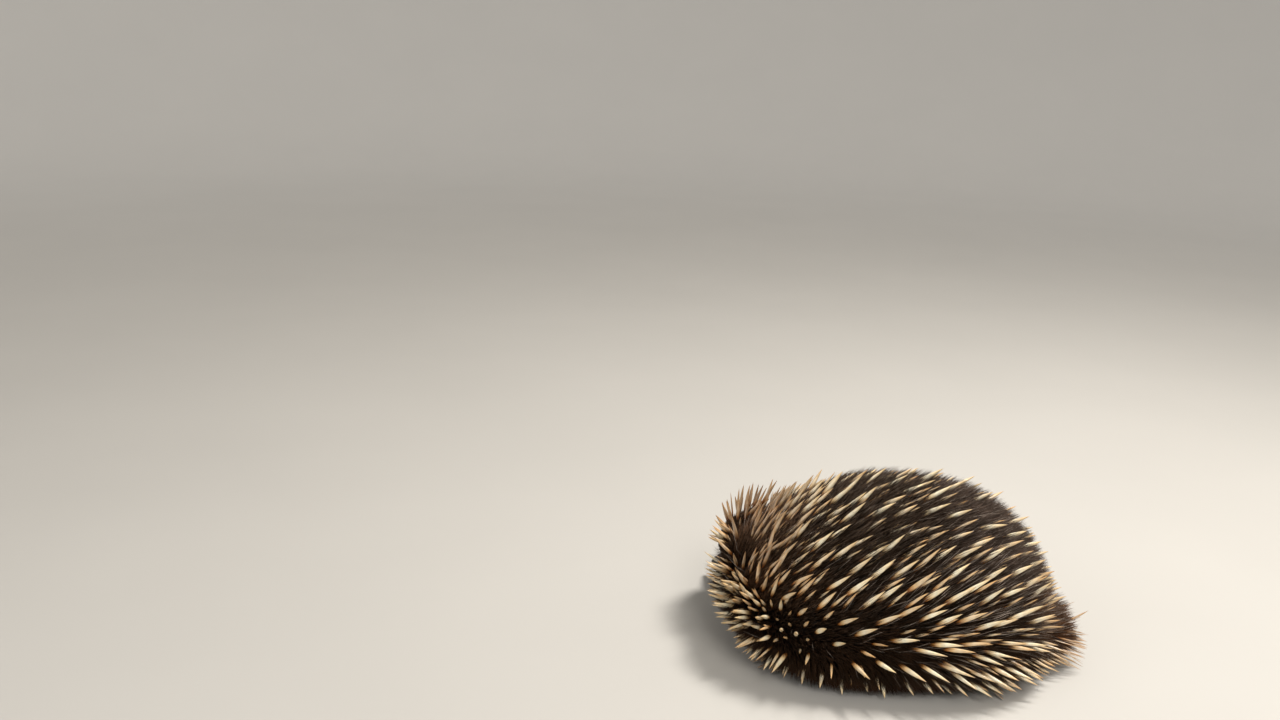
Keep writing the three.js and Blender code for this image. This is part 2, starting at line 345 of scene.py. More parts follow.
def dome_share(points):
    """How far out points lie in the dome, from 0 on its axis to 1 at the spine tips."""
    ends = (-DOME_FRONT_LENGTH, DOME_REAR_LENGTH)
    x = points[:, 0] - DOME_X
    waist = dome_waist(np.clip(x, *ends), ends)
    above = (DOME_HEIGHT - waist) * dome_swell(x, DOME_HIGHEST, ends, DOME_HEIGHT_POWERS)
    below = waist * dome_swell(x, 0.0, ends, DOME_UNDER_POWERS)
    width = DOME_HALF_WIDTH * dome_swell(x, 0.0, ends, DOME_WIDTH_POWERS)
    across = np.abs(points[:, 1] - DOME_Y - dome_bend(x)) / np.maximum(width, 1e-5)
    rise = points[:, 2] - waist
    up = np.where(rise > 0, rise / np.maximum(above, 1e-5), (rise / np.maximum(below, 1e-5)) ** 2)
    return np.hypot(across, up)


def coat_share(points):
    """How far out points lie in the dome or in the tail, from 0 inside to 1 at the spine tips."""
    low, high = corners("tail")
    tail = (points - (low + high) / 2) / ((high - low) / 2 * TAIL_ROOM)
    return np.minimum(dome_share(points), np.linalg.norm(tail, axis=1))


def along_body(points):
    """The share of the body's length that lies ahead of each point."""
    return (points[:, 0] - DOME_X + DOME_FRONT_LENGTH) / (DOME_FRONT_LENGTH + DOME_REAR_LENGTH)


# The head's frame


def head_turn():
    """The head's axes as the columns of a matrix: backwards, to the right, and the crown."""
    head = settings().head
    return np.array(Matrix.Rotation(-head.turn, 3, "Z") @ Matrix.Rotation(-head.pitch, 3, "Y"))


def head_middle():
    eyes = (middle("eye_left") + middle("eye_right")) / 2
    return eyes - head_turn() @ (EYE_PLACE * (1, 0, 1))


def to_head(points):
    """Points of the frame, in the head's frame."""
    return (points - head_middle()) @ head_turn()


def from_head(points):
    """Points of the head's frame, in the frame."""
    return points @ head_turn().T + head_middle()


# Rounded shapes, each made from a ball


def shape_from_ball(mesh, rings, sides, place):
    """Adds to a bmesh a ball with its poles on X, with each point moved to place(directions)."""
    made = bmesh.ops.create_uvsphere(mesh, u_segments=sides, v_segments=rings, radius=1.0)["verts"]
    bmesh.ops.rotate(mesh, verts=made, cent=(0, 0, 0), matrix=Matrix.Rotation(math.pi / 2, 3, "Y"))
    for vert, point in zip(made, place(np.array([vert.co for vert in made]))):
        vert.co = point
    return made


def ellipsoid(centre, size):
    return lambda directions: directions * np.array(size) + np.array(centre)


def limb_between(start, end, start_radius, end_radius):
    """A stout rounded limb from start to end."""
    start, end = np.array(start), np.array(end)
    axis = unit(end - start)
    side = unit(np.cross(axis, (0.0, 1.0, 0.3)))
    other = np.cross(axis, side)
    half = np.linalg.norm(end - start) / 2

    def place(directions):
        share = (1 + directions[:, :1]) / 2
        radius = start_radius + (end_radius - start_radius) * share
        around = np.linalg.norm(directions[:, 1:], axis=1, keepdims=True)
        filled = directions[:, 1:] * np.maximum(around, 1e-6) ** -0.35 * radius
        reach = half + 0.6 * radius
        across = filled[:, :1] * side + filled[:, 1:] * other
        return (start + end) / 2 + axis * directions[:, :1] * reach + across

    return place


def skull(directions):
    """The cranium, which narrows towards the root of the beak."""
    head = settings().head
    forward = np.maximum(-directions[:, 0], 0)
    taper = 1 - 0.26 * forward**2
    length = np.where(directions[:, 0] < 0, head.face_length, head.back_length)
    brow = 0.0016 * np.exp(-(((forward - 0.45) / 0.2) ** 2)) * np.maximum(directions[:, 2], 0)
    return np.stack(
        [
            directions[:, 0] * length,
            directions[:, 1] * head.half_width * taper,
            directions[:, 2] * head.half_height * taper - 0.005 * forward**2 + brow,
        ],
        axis=1,
    )


def beak_shape(directions):
    """The slender beak, bent a little upwards."""
    head = settings().head
    along = (1 - directions[:, 0]) / 2
    around = np.linalg.norm(directions[:, 1:], axis=1)
    filled = np.maximum(around, 1e-6) ** -0.55
    width = head.beak_root + (head.beak_tip - head.beak_root) * along**0.8
    height = width - 0.0010 * (1 - along)
    root = BEAK_TIP + head.beak_length
    return np.stack(
        [
            root - head.beak_length * along,
            directions[:, 1] * filled * width,
            directions[:, 2] * filled * height - 0.006 + 0.004 * along**2,
        ],
        axis=1,
    )


def foot_axes(leg):
    """Where a foot stands, with its toe direction and its outer direction on the floor."""
    foot = middle(f"foot_{leg}")
    toes = unit((middle(f"claw_{leg}_3") - foot) * (1, 1, 0))
    return foot, toes, np.array((-toes[1], toes[0], 0.0))


def foot_shape(leg):
    """A flat foot, wider at the toes."""
    foot, toes, aside = foot_axes(leg)

    def place(directions):
        splay = 1 + 0.14 * np.maximum(directions[:, :1], 0)
        spread = toes * directions[:, :1] * 0.0195 + aside * directions[:, 1:2] * 0.0168 * splay
        lift = 0.0072 + directions[:, 2] * 0.0082 * (1 - 0.25 * np.maximum(directions[:, 0], 0))
        points = spread + foot * (1, 1, 0)
        points[:, 2] = np.maximum(lift, 0.0004)
        return points

    return place


def leg_ends(leg):
    """A leg's upper end, inside the body, and its ankle."""
    foot, toes, _ = foot_axes(leg)
    ankle = foot * (1, 1, 0) - toes * 0.004 + (0, 0, 0.017)
    inward = np.array((DOME_X, DOME_Y, 0.0)) - ankle
    top = ankle + unit(inward * (1, 1, 0)) * 0.034 + (0, 0, 0.034)
    return top, ankle


# Colours of the coat, the same on the skin and on the fur over it


def coat_colour(points, normals):
    """The fur's colour at each place: black, with brown at the nape, the rump, the face and the feet. Painted
    light on it: browner where it faces down, to lift its shade; painted shade on top towards the front; a
    painted grey sheen on top of the rump.
    """
    colours = settings().colours
    share = along_body(points)
    head = to_head(points)
    nape = (1 - ease(share, 0.10, 0.34)) * ease(normals[:, 2], -0.2, 0.5)
    rump = ease(share, 0.80, 1.0)
    feet = 1 - ease(points[:, 2], 0.012, 0.03)
    # Painted light: where the fur faces down it is made a little browner, which lifts its shade.
    low = 1 - ease(normals[:, 2], -0.1, 0.4)
    brown = np.clip(0.40 * nape + 0.8 * rump + 0.35 * feet + 0.10 * low, 0, 1)
    tint = mix(np.array(colours.fur_black), np.array(colours.fur_brown), brown)
    above = ease(normals[:, 2], 0.4, 0.8)
    # Painted shade: fur that faces up is darkened, most towards the front of the body.
    tint = tint * (1 - 0.28 * above * (1 - ease(share, 0.50, 0.75)))[:, None]
    # Painted sheen: the fur on top of the rump is mixed towards grey, where light glances off it.
    tint = mix(tint, np.array(colours.fur_painted_sheen), 0.5 * above * ease(share, 0.50, 0.70))
    beside = np.linalg.norm(head[:, 1:], axis=1)
    face = (1 - ease(head[:, 0], -0.012, 0.012)) * (1 - ease(beside, 0.026, 0.036))
    return mix(tint, np.array(colours.face_brown), face)


def skin_colour(points, normals):
    """The skin's colour: that of the coat over it, and bare and dark on the beak, with painted shade in the ear
    slits.
    """
    head = to_head(points)
    beside = np.linalg.norm(head[:, 1:], axis=1)
    bare = (1 - ease(head[:, 0], -0.046, -0.034)) * (1 - ease(beside, 0.016, 0.024))
    ear = mirrored(head) - EAR_PLACE
    slit = np.exp(-((ear[:, 0] / 0.0016) ** 2)) * (np.linalg.norm(ear, axis=1) < 0.0085)
    # Painted shade: the skin in each ear slit is darkened, as the opening lies in shade.
    tint = coat_colour(points, normals) * (0.8 - 0.65 * slit)[:, None]
    return mix(tint, np.array(settings().colours.beak), bare)


# Materials


def grey(value):
    return (value, value, value)


def shaded(colour, factor):
    return [min(1.0, part * factor) for part in colour]


class Surface:
    """A material under its Principled shader, and the nodes that feed it."""

    def __init__(self, name):
        self.material = bpy.data.materials.new(name)
        self.material.use_nodes = True
        self.tree = self.material.node_tree
        self.shader = self.tree.nodes["Principled BSDF"]

    def node(self, kind, inputs, **values):
        """Adds a node, with its own values and with a number or another node's output for its inputs."""
        made = self.tree.nodes.new(kind)
        for key, value in values.items():
            setattr(made, key, value)
        self.feed(made, inputs)
        return made

    def feed(self, node, inputs):
        for key, value in inputs.items():
            if isinstance(value, bpy.types.NodeSocket):
                self.tree.links.new(value, node.inputs[key])
            else:
                node.inputs[key].default_value = value

    def finish(self, inputs):
        """Feeds the shader, and gives the material back."""
        self.feed(self.shader, inputs)
        return self.material

    def place(self):
        """Each point's own coordinates."""
        return self.node("ShaderNodeTexCoord", {}).outputs["Object"]

    def along(self):
        """How far along its tuft or claw each point lies."""
        return self.node("ShaderNodeAttribute", {}, attribute_name="along").outputs["Fac"]

    def tint(self):
        """The colour that each point was given."""
        return self.node("ShaderNodeAttribute", {}, attribute_name="tint").outputs["Color"]

    def noise(self, scale, detail, stretch=(1, 1, 1)):
        """A noise on the coordinates, stretched along an axis."""
        mapping = self.node("ShaderNodeMapping", {"Vector": self.place(), "Scale": stretch})
        inputs = {"Vector": mapping.outputs["Vector"], "Scale": scale, "Detail": detail}
        return self.node("ShaderNodeTexNoise", inputs).outputs["Fac"]

    def ramp(self, factor, *stops):
        """The colours of a ramp with the given (place, colour) stops."""
        made = self.node("ShaderNodeValToRGB", {"Fac": factor})
        while len(made.color_ramp.elements) < len(stops):
            made.color_ramp.elements.new(0.5)
        for element, (place, rgb) in zip(made.color_ramp.elements, stops):
            element.position = place
            element.color = (*rgb, 1.0)
        return made.outputs["Color"]

    def times(self, first, second):
        """Two colours multiplied."""
        inputs = {0: 1.0, 6: first, 7: second}
        return self.node("ShaderNodeMix", inputs, data_type="RGBA", blend_type="MULTIPLY").outputs[2]

    def bump(self, height, strength, distance, **onto):
        """A normal bent by a height, onto another normal where one is given as Normal."""
        inputs = {"Strength": strength, "Distance": distance, "Height": height, **onto}
        return self.node("ShaderNodeBump", inputs).outputs["Normal"]


def skin_material():
    """Bare skin: its own colour, mottled, with creases and pores."""
    skin = Surface("skin")
    mottle = skin.noise(90, 6)
    shades = skin.ramp(mottle, (0.30, grey(0.55)), (0.55, grey(1.0)), (0.75, grey(1.5)))
    inputs = {"Vector": skin.place(), "Scale": 1300}
    creases = skin.node("ShaderNodeTexVoronoi", inputs, feature="DISTANCE_TO_EDGE")
    creased = skin.bump(creases.outputs["Distance"], 0.20, 0.0002)
    return skin.finish(
        {
            "Base Color": skin.times(skin.tint(), shades),
            "Roughness": skin.ramp(mottle, (0.3, grey(0.48)), (0.7, grey(0.70))),
            "Normal": skin.bump(skin.noise(520, 4), 0.20, 0.0003, Normal=creased),
            "Specular IOR Level": 0.45,
        }
    )


def fur_material():
    """Fur: the colour of its place, darker at the root and lighter at the tip of each lock."""
    fur = Surface("fur")
    stops = ((0.0, grey(0.30)), (0.45, grey(0.85)), (0.8, grey(1.35)), (1.0, grey(2.2)))
    tinted = fur.times(fur.tint(), fur.ramp(fur.along(), *stops))
    patchy = fur.ramp(fur.noise(55, 3), (0.35, grey(0.6)), (0.65, grey(1.3)))
    return fur.finish(
        {
            "Base Color": fur.times(tinted, patchy),
            "Roughness": 0.44,
            "Specular IOR Level": 0.20,
            "Specular Tint": (1.0, 0.74, 0.54, 1.0),
        }
    )


def spine_material():
    """Keratin: near black deep in the fur as painted shade, orange-brown at the root, cream along the shaft,
    brown at the point.
    """
    colours = settings().colours
    spine = Surface("spine")
    stops = (
        # Painted shade: the part of the spine that lies in the fur is darkened nearly to black.
        (0.0, shaded(colours.spine_root, 0.08)),
        (0.27, shaded(colours.spine_root, 0.25)),
        (0.36, colours.spine_root),
        (0.48, colours.spine_body),
        (0.62, colours.spine_pale),
        (0.90, colours.spine_body),
        (1.0, colours.spine_tip),
    )
    tinted = spine.times(spine.ramp(spine.along(), *stops), spine.tint())
    streaks = spine.noise(260, 5)
    return spine.finish(
        {
            "Base Color": spine.times(tinted, spine.ramp(streaks, (0.30, grey(0.84)), (0.62, grey(1.04)))),
            "Normal": spine.bump(streaks, 0.25, 0.0005),
            "Roughness": 0.25,
            "Specular IOR Level": 0.85,
        }
    )


def claw_material():
    """Horn: dark at the root, paler and scratched towards the tip."""
    horn = settings().colours.claw
    claw = Surface("claw")
    shaft = claw.ramp(claw.along(), (0.0, shaded(horn, 0.35)), (0.55, horn), (1.0, shaded(horn, 3.6)))
    scratches = claw.noise(420, 6, (1, 1, 0.4))
    return claw.finish(
        {
            "Base Color": claw.times(shaft, claw.ramp(scratches, (0.3, grey(0.6)), (0.65, grey(1.2)))),
            "Normal": claw.bump(scratches, 0.4, 0.0006),
            "Roughness": 0.38,
        }
    )


def eye_material():
    """A wet, nearly black eyeball."""
    dark = settings().colours.eye
    eye = Surface("eye")
    iris = eye.ramp(eye.noise(700, 2), (0.3, dark), (0.8, shaded(dark, 3)))
    return eye.finish({"Base Color": iris, "Roughness": 0.08, "Specular IOR Level": 0.35})


def floor_material():
    """A plain pale floor, very slightly uneven, whose far wall glows softly as if lit by lamps of its own."""
    base = settings().colours.floor
    floor = Surface("studio_floor")
    floor.material.cycles.emission_sampling = "NONE"
    distance = floor.node("ShaderNodeVectorMath", {0: floor.place()}, operation="LENGTH").outputs["Value"]
    inputs = {"Value": distance, "From Min": 0.7, "From Max": 4.6, "To Min": 0.0, "To Max": 0.18}
    glow = floor.node("ShaderNodeMapRange", inputs, interpolation_type="SMOOTHSTEP")
    return floor.finish(
        {
            "Base Color": floor.ramp(floor.noise(3, 2), (0.3, shaded(base, 0.97)), (0.7, base)),
            "Emission Strength": glow.outputs["Result"],
            "Emission Color": (1.0, 0.97, 0.92, 1.0),
            "Roughness": 0.8,
        }
    )


# The one skin


def join_flesh():
    """All the fleshy shapes in one bmesh, each running into its neighbours."""
    body = settings().body
    flesh = bmesh.new()
    coat = (body.coat_front, body.coat_rear, body.coat_side, body.coat_top, body.coat_belly)
    shape_from_ball(flesh, 48, 64, lambda directions: dome_points(directions, coat))
    shape_from_ball(flesh, 32, 40, lambda directions: from_head(skull(directions)))
    shape_from_ball(flesh, 64, 40, lambda directions: from_head(beak_shape(directions)))
    nape = from_head(np.array([[0.014, 0.0, 0.004]]))[0]
    shoulder = np.array((DOME_X - 0.088, DOME_Y + 0.020, 0.066))
    shape_from_ball(flesh, 32, 32, limb_between(shoulder, nape, 0.043, 0.024))
    for sign in SIDES.values():
        place = EAR_PLACE * (1, sign, 1)
        shape_from_ball(flesh, 16, 16, lambda d, at=place: from_head(ellipsoid(at, EAR_SIZE)(d)))
    for leg in LEGS:
        top, ankle = leg_ends(leg)
        thick = 0.0165 if leg.startswith("hind") else 0.0135
        shape_from_ball(flesh, 20, 24, limb_between(top, ankle, thick * 1.2, thick))
        shape_from_ball(flesh, 20, 24, foot_shape(leg))
    tail = middle("tail")
    shape_from_ball(flesh, 24, 24, ellipsoid(tail + (-0.012, 0, 0.0), (0.036, 0.024, 0.019)))
    return flesh


def remeshed(source, voxel):
    """One closed mesh round all the shapes of a bmesh."""
    mesh = bpy.data.meshes.new("flesh")
    source.to_mesh(mesh)
    source.free()
    carrier = add_object("flesh", mesh)
    remesh = carrier.modifiers.new("remesh", "REMESH")
    remesh.mode = "VOXEL"
    remesh.voxel_size = voxel
    made = bpy.data.meshes.new_from_object(carrier.evaluated_get(bpy.context.evaluated_depsgraph_get()))
    bpy.data.objects.remove(carrier)
    result = bmesh.new()
    result.from_mesh(made)
    bpy.data.meshes.remove(made)
    bpy.data.meshes.remove(mesh)
    return result


def smooth(mesh, flags, times):
    """Evens out the points of a mesh for which flags is true."""
    verts = [vert for vert, flag in zip(mesh.verts, flags) if flag]
    for _ in range(times):
        bmesh.ops.smooth_vert(
            mesh, verts=verts, factor=0.5, use_axis_x=True, use_axis_y=True, use_axis_z=True
        )


def refine(mesh, wanted):
    """Halves the facets at the points of the head's frame for which wanted is true."""
    chosen = {vert for vert, flag in zip(mesh.verts, wanted(head_points(mesh))) if flag}
    edges = [edge for edge in mesh.edges if edge.verts[0] in chosen and edge.verts[1] in chosen]
    bmesh.ops.subdivide_edges(mesh, edges=edges, cuts=1, use_grid_fill=True)
    mesh.verts.index_update()


def head_points(mesh):
    return to_head(np.array([vert.co for vert in mesh.verts]))


def near_face(points, reach=0.031, back=0.006):
    """Ahead of the ears, and on the beak. The points are in the head's frame."""
    beside = np.linalg.norm(points[:, 1:], axis=1)
    return (points[:, 0] < back) & (points[:, 0] > BEAK_TIP - 0.01) & (beside < reach)


def mirrored(points):
    """Points in the head's frame, all brought to its right side."""
    return points * (1, 0, 1) + np.abs(points) * (0, 1, 0)


def near_eyes(points, reach=0.0078):
    return np.linalg.norm(mirrored(points) - EYE_PLACE, axis=1) < reach


def near_details(points):
    """Round the eyes, the ears and the end of the beak. The points are in the head's frame."""
    ears = np.linalg.norm((mirrored(points) - EAR_PLACE) * (1.2, 1, 0.8), axis=1) < 0.010
    tip = points[:, 0] < BEAK_TIP + 0.013
    return near_face(points) & (near_eyes(points, 0.011) | ears | tip)


def eye_outward(sign):
    """The way that an eye looks, in the head's frame."""
    return unit(np.array((-0.35, sign, 0.12)))


def eye_turn(points):
    """The angle of each point from the way that the nearer eye looks."""
    return np.arccos(np.clip(unit(mirrored(points) - EYE_PLACE) @ eye_outward(1), -1, 1))


def shape_lids(points, sign):
    """Opens the skin over one eyeball, with a rim that lies on the ball and a furrow behind each lid."""
    head = settings().head
    centre = EYE_PLACE * (1, sign, 1)
    outward = eye_outward(sign)
    forward = unit(np.cross(outward, (0.0, 0.0, 1.0)) * sign)
    upward = np.cross(outward, forward) * sign
    offset = points - centre
    distance = np.linalg.norm(offset, axis=1)
    near = (distance < 0.012) & (points[:, 1] * sign > 0.003)
    rays = unit(offset)
    turn = np.arccos(np.clip(rays @ outward, -1, 1))
    aside = unit(rays - outward * (rays @ outward)[:, None])
    opening = 1 / np.hypot((aside @ forward) / head.lid_width, (aside @ upward) / head.lid_height)
    on_rim = np.abs(turn - opening) < 0.044
    inside = (turn < opening) & ~on_rim
    turn = np.where(on_rim, opening, turn)
    rim = head.eye_radius + head.lid_thickness
    raised = (distance**3 + rim**3) ** (1 / 3)
    lid = raised + (distance - raised) * ease(distance, 0.0050, 0.0115)
    upper = 0.6 + 0.4 * (aside @ upward)
    lid -= 0.00040 * upper * np.exp(-(((turn - 1.22) / 0.10) ** 2)) * (distance < 0.010)
    lid -= 0.00022 * upper * np.exp(-(((turn - 1.48) / 0.08) ** 2)) * (distance < 0.012)
    radius = np.where(inside, 0.72 * head.eye_radius, lid)
    moved = centre + radius[:, None] * (outward * np.cos(turn)[:, None] + aside * np.sin(turn)[:, None])
    points[near] = moved[near]


def shape_face(points):
    """Adds lids, ear slits, nostrils, the mouth and creases to points in the head's frame."""
    for sign in SIDES.values():
        shape_lids(points, sign)
        ear = points - EAR_PLACE * (1, sign, 1)
        slit = np.exp(-((ear[:, 0] / 0.0013) ** 2)) * (1 - ease(np.abs(ear[:, 2]), 0.0045, 0.0070))
        beside = (points[:, 1] * sign > 0.015) & (np.linalg.norm(ear, axis=1) < 0.012)
        points[beside, 1] -= (sign * 0.0042 * slit)[beside]
        nostril = points - np.array((BEAK_TIP + 0.0042, sign * 0.0019, 0.0014))
        pit = np.exp(-((nostril[:, 0] / 0.0013) ** 2) - (nostril[:, 1] / 0.0007) ** 2)
        over = (points[:, 0] < BEAK_TIP + 0.010) & (points[:, 2] > -0.001)
        points[over, 2] -= (0.0014 * pit)[over]
    centre = -0.002 - 0.004 * ease(points[:, 0], BEAK_TIP, BEAK_TIP + 0.04)
    mouth = np.exp(-(((points[:, 2] - centre + 0.0016) / 0.00045) ** 2)) * (points[:, 0] < BEAK_TIP + 0.013)
    mouth *= 1 - ease(points[:, 0], BEAK_TIP + 0.009, BEAK_TIP + 0.013)
    inwards = unit(np.stack([np.full(len(points), -0.3), points[:, 1], np.zeros(len(points))], axis=1))
    points -= inwards * (0.0006 * mouth)[:, None]
    crease_zone = ease(points[:, 0], -0.060, -0.046) * (1 - ease(points[:, 0], -0.038, -0.030))
    crease = np.sin(points[:, 0] / 0.0026 * 2 * math.pi + 3 * np.sin(points[:, 1] / 0.004))
    radial = unit(points * (0, 1, 1) + (0, 0, 0.006))
    crease *= crease_zone * (np.linalg.norm(points[:, 1:], axis=1) < 0.02)
    points += radial * (0.00009 * crease)[:, None]
    return points


def make_skin():
    """The skin, finest round the eyes, the ears and the end of the beak."""
    body = settings().body
    skin = remeshed(join_flesh(), body.voxel)
    flags = near_face(head_points(skin))
    smooth(skin, ~flags, 8)
    smooth(skin, flags, 1)
    refine(skin, near_face)
    smooth(skin, near_face(head_points(skin)), 4)
    refine(skin, near_details)
    refine(skin, near_eyes)
    smooth(skin, near_details(head_points(skin)), 4)
    for vert, point in zip(skin.verts, from_head(shape_face(head_points(skin)))):
        vert.co = point
        vert.co.z = max(vert.co.z, OVER_FLOOR)
    points = head_points(skin)
    smooth(skin, near_details(points) & ~near_eyes(points), 1)
    bmesh.ops.triangulate(skin, faces=[face for face in skin.faces if len(face.verts) > 4])
    made = object_from(skin, "skin")
    set_attribute(made.data, "tint", skin_colour(*mesh_arrays(made.data)))
    return made


# Eyes and claws


def make_eye(side):
    """An eyeball with a slight bulge where it looks out."""
    head = settings().head
    ball = bmesh.new()
    outward = eye_outward(SIDES[side])

    def place(directions):
        bulge = 1 + 0.05 * ease(directions @ outward, 0.80, 1.0)
        return from_head(EYE_PLACE * (1, SIDES[side], 1) + directions * head.eye_radius * bulge[:, None])

    shape_from_ball(ball, 24, 32, place)
    return object_from(ball, f"eyeball_{side}")


def claw_axis(node, foot):
    """The root, tip and half width of a claw's solid."""
    points, _ = mesh_arrays(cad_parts[node].data)
    centre = points.mean(axis=0)
    axis = np.linalg.svd(points - centre)[2][0]
    ends = (points - centre) @ axis
    root, tip = points[ends.argmin()], points[ends.argmax()]
    if np.linalg.norm(root - foot) > np.linalg.norm(tip - foot):
        root, tip = tip, root
    flat = unit(np.cross(tip - root, (0, 0, 1.0)))
    return root, tip, np.abs((points - centre) @ flat).max()


def make_claw(node, foot):
    """A flat, slightly hooked claw with a ridge along its back."""
    root, tip, half_width = claw_axis(node, foot)
    length = np.linalg.norm(tip - root)
    along_axis = unit((tip - root) * (1, 1, 0))
    aside = np.array((-along_axis[1], along_axis[0], 0.0))
    horn = bmesh.new()

    def place(directions):
        along = (1 + directions[:, 0]) / 2
        around = np.maximum(np.linalg.norm(directions[:, 1:], axis=1), 1e-6)
        filled = around**-0.5
        wide = half_width * (1 - 0.50 * along**2) * filled
        ridge = 1 + 0.22 * np.maximum(directions[:, 2], 0) * np.exp(-((directions[:, 1] / 0.35) ** 2))
        lift = root[2] + (tip[2] - root[2]) * along + 0.05 * length * np.sin(math.pi * along)
        groove = 1 + 0.04 * np.cos(directions[:, 1] * 14)
        points = root * (1, 1, 0) + np.outer(along * length, along_axis)
        points += np.outer(directions[:, 1] * wide, aside)
        points[:, 2] = np.maximum(lift + directions[:, 2] * wide * 0.58 * ridge * groove, OVER_FLOOR)
        return points

    shape_from_ball(horn, 18, 16, place)
    made = object_from(horn, f"horn_{node}")
    points, _ = mesh_arrays(made.data)
    set_attribute(made.data, "along", np.clip((points - root) @ unit(tip - root) / length, 0, 1))
    return made


# Spines and fur


def tuft_template(sides, profile):
    """A closed tapered shaft from a bmesh cone: the points' angle, place along it, and its triangles."""
    shaft = bmesh.new()
    places = [place for place, _ in profile]
    bmesh.ops.create_circle(shaft, cap_ends=True, segments=sides, radius=1.0)
    for vert in shaft.verts:
        vert.co.z = places[0]
    for start, end in zip(places[:-1], places[1:]):
        rim = [edge for edge in shaft.edges if edge.is_boundary or len(edge.link_faces) < 2]
        if start == places[0]:
            rim = list(shaft.edges)
        grown = bmesh.ops.extrude_edge_only(shaft, edges=rim)["geom"]
        verts = [item for item in grown if isinstance(item, bmesh.types.BMVert)]
        bmesh.ops.translate(shaft, verts=verts, vec=(0, 0, end - start))
    last = [vert for vert in shaft.verts if abs(vert.co.z - places[-1]) < 1e-6]
    bmesh.ops.pointmerge(shaft, verts=last, merge_co=(0, 0, places[-1]))
    bmesh.ops.recalc_face_normals(shaft, faces=shaft.faces)
    bmesh.ops.triangulate(shaft, faces=shaft.faces)
    shaft.verts.index_update()
    points = np.array([vert.co for vert in shaft.verts])
    triangles = np.array([[vert.index for vert in face.verts] for face in shaft.faces])
    shaft.free()
    radius = np.interp(points[:, 2], places, [size for _, size in profile])
    return {"round": points[:, :2] * radius[:, None], "along": points[:, 2], "triangles": triangles}


def make_tufts(name, template, tufts):
    """One mesh of many copies of a shaft. tufts holds, for each: root, start and end direction, side,
    length, width, tint and its place on the map."""
    along = template["along"][None, :, None]
    start, end = tufts["start"][:, None, :], tufts["end"][:, None, :]
    centre = tufts["root"][:, None, :] + tufts["length"][:, None, None] * (
        start * (along - along**2 / 2) + end * along**2 / 2
    )
    heading = unit(start * (1 - along) + end * along)
    side = tufts["side"][:, None, :]
    side = unit(side - heading * np.sum(side * heading, axis=2, keepdims=True))
    other = np.cross(heading, side)
    size = tufts["width"][:, None, None] / 2
    points = centre + size * (template["round"][None, :, :1] * side + template["round"][None, :, 1:] * other)
    points[:, :, 2] = np.maximum(points[:, :, 2], OVER_FLOOR)
    number, per = points.shape[:2]
    triangles = template["triangles"][None] + (np.arange(number) * per)[:, None, None]
    mesh = bpy.data.meshes.new(name)
    mesh.vertices.add(number * per)
    mesh.vertices.foreach_set("co", points.astype(np.float32).ravel())
    mesh.loops.add(triangles.size)
    mesh.loops.foreach_set("vertex_index", triangles.astype(np.int32).ravel())
    mesh.polygons.add(triangles.size // 3)
    mesh.polygons.foreach_set("loop_start", np.arange(0, triangles.size, 3, dtype=np.int32))
    mesh.update(calc_edges=True)
    mesh.shade_smooth()
    set_attribute(mesh, "along", np.tile(template["along"], number))
    set_attribute(mesh, "tint", np.repeat(tufts["tint"], per, axis=0))
    angles = np.arctan2(template["round"][:, 1], template["round"][:, 0]) / (2 * math.pi) + 0.5
    patch = np.stack([angles, template["along"]], axis=1) * PATCH
    places = (tufts["map"][:, None, :] + patch[None]).reshape(-1, 2)
    layer = mesh.uv_layers.new(name=MAP_NAME)
    layer.uv.foreach_set("vector", places[triangles.ravel()].astype(np.float32).ravel())
    return add_object(name, mesh)


def unwrap(points, centre):
    """Places on an equal-area unwrap of the skin, seen from inside it, stretched to fill the map."""
    rays = unit(points - centre)
    turn = np.arctan2(rays[:, 1], rays[:, 0])
    radius = np.sqrt(np.maximum(1 - rays[:, 2], 0) / 2)
    flat = np.stack([radius * np.cos(turn), radius * np.sin(turn)], axis=1)
    low, high = flat.min(axis=0), flat.max(axis=0)
    return 0.002 + (flat - low) / np.maximum(high - low, 1e-6) * (0.996 - PATCH)


def scatter(mesh, number, weight, random):
    """Roots spread over a mesh, denser where weight(points, normals) is larger, with their normals."""
    mesh.calc_loop_triangles()
    corners_of = np.empty(len(mesh.loop_triangles) * 3, np.int32)
    mesh.loop_triangles.foreach_get("vertices", corners_of)
    corners_of = corners_of.reshape(-1, 3)
    points, normals = mesh_arrays(mesh)
    a, b, c = (points[corners_of[:, k]] for k in range(3))
    area = np.linalg.norm(np.cross(b - a, c - a), axis=1)
    facing = unit(normals[corners_of].mean(axis=1))
    total = np.cumsum(area * weight((a + b + c) / 3, facing))
    picks = np.searchsorted(total, (np.arange(number) + random.random(number)) / number * total[-1])
    picks = np.minimum(picks, len(total) - 1)
    u, v = random.random((2, number))
    over = u + v > 1
    u, v = np.where(over, 1 - u, u)[:, None], np.where(over, 1 - v, v)[:, None]
    roots = a[picks] * (1 - u - v) + b[picks] * u + c[picks] * v
    corner = normals[corners_of[picks]]
    return roots, unit(corner[:, 0] * (1 - u - v) + corner[:, 1] * u + corner[:, 2] * v)


def spread_out(points, spacing, kept=()):
    """Picks from points, in their order, those that keep their spacing from all picked before."""
    cell = float(spacing.max())
    grid = {}

    def neighbours(point):
        base = np.floor(point / cell).astype(int)
        for x in (-1, 0, 1):
            for y in (-1, 0, 1):
                for z in (-1, 0, 1):
                    yield from grid.get((base[0] + x, base[1] + y, base[2] + z), ())

    def store(point):
        grid.setdefault(tuple(np.floor(point / cell).astype(int)), []).append(point)

    def apart(one, other):
        return (one[0] - other[0]) ** 2 + (one[1] - other[1]) ** 2 + (one[2] - other[2]) ** 2

    for point in kept:
        store(point)
    chosen = []
    for index, (point, room) in enumerate(zip(points, spacing)):
        if all(apart(point, other) > room * room for other in neighbours(point)):
            chosen.append(index)
            store(point)
    return np.array(chosen, int)


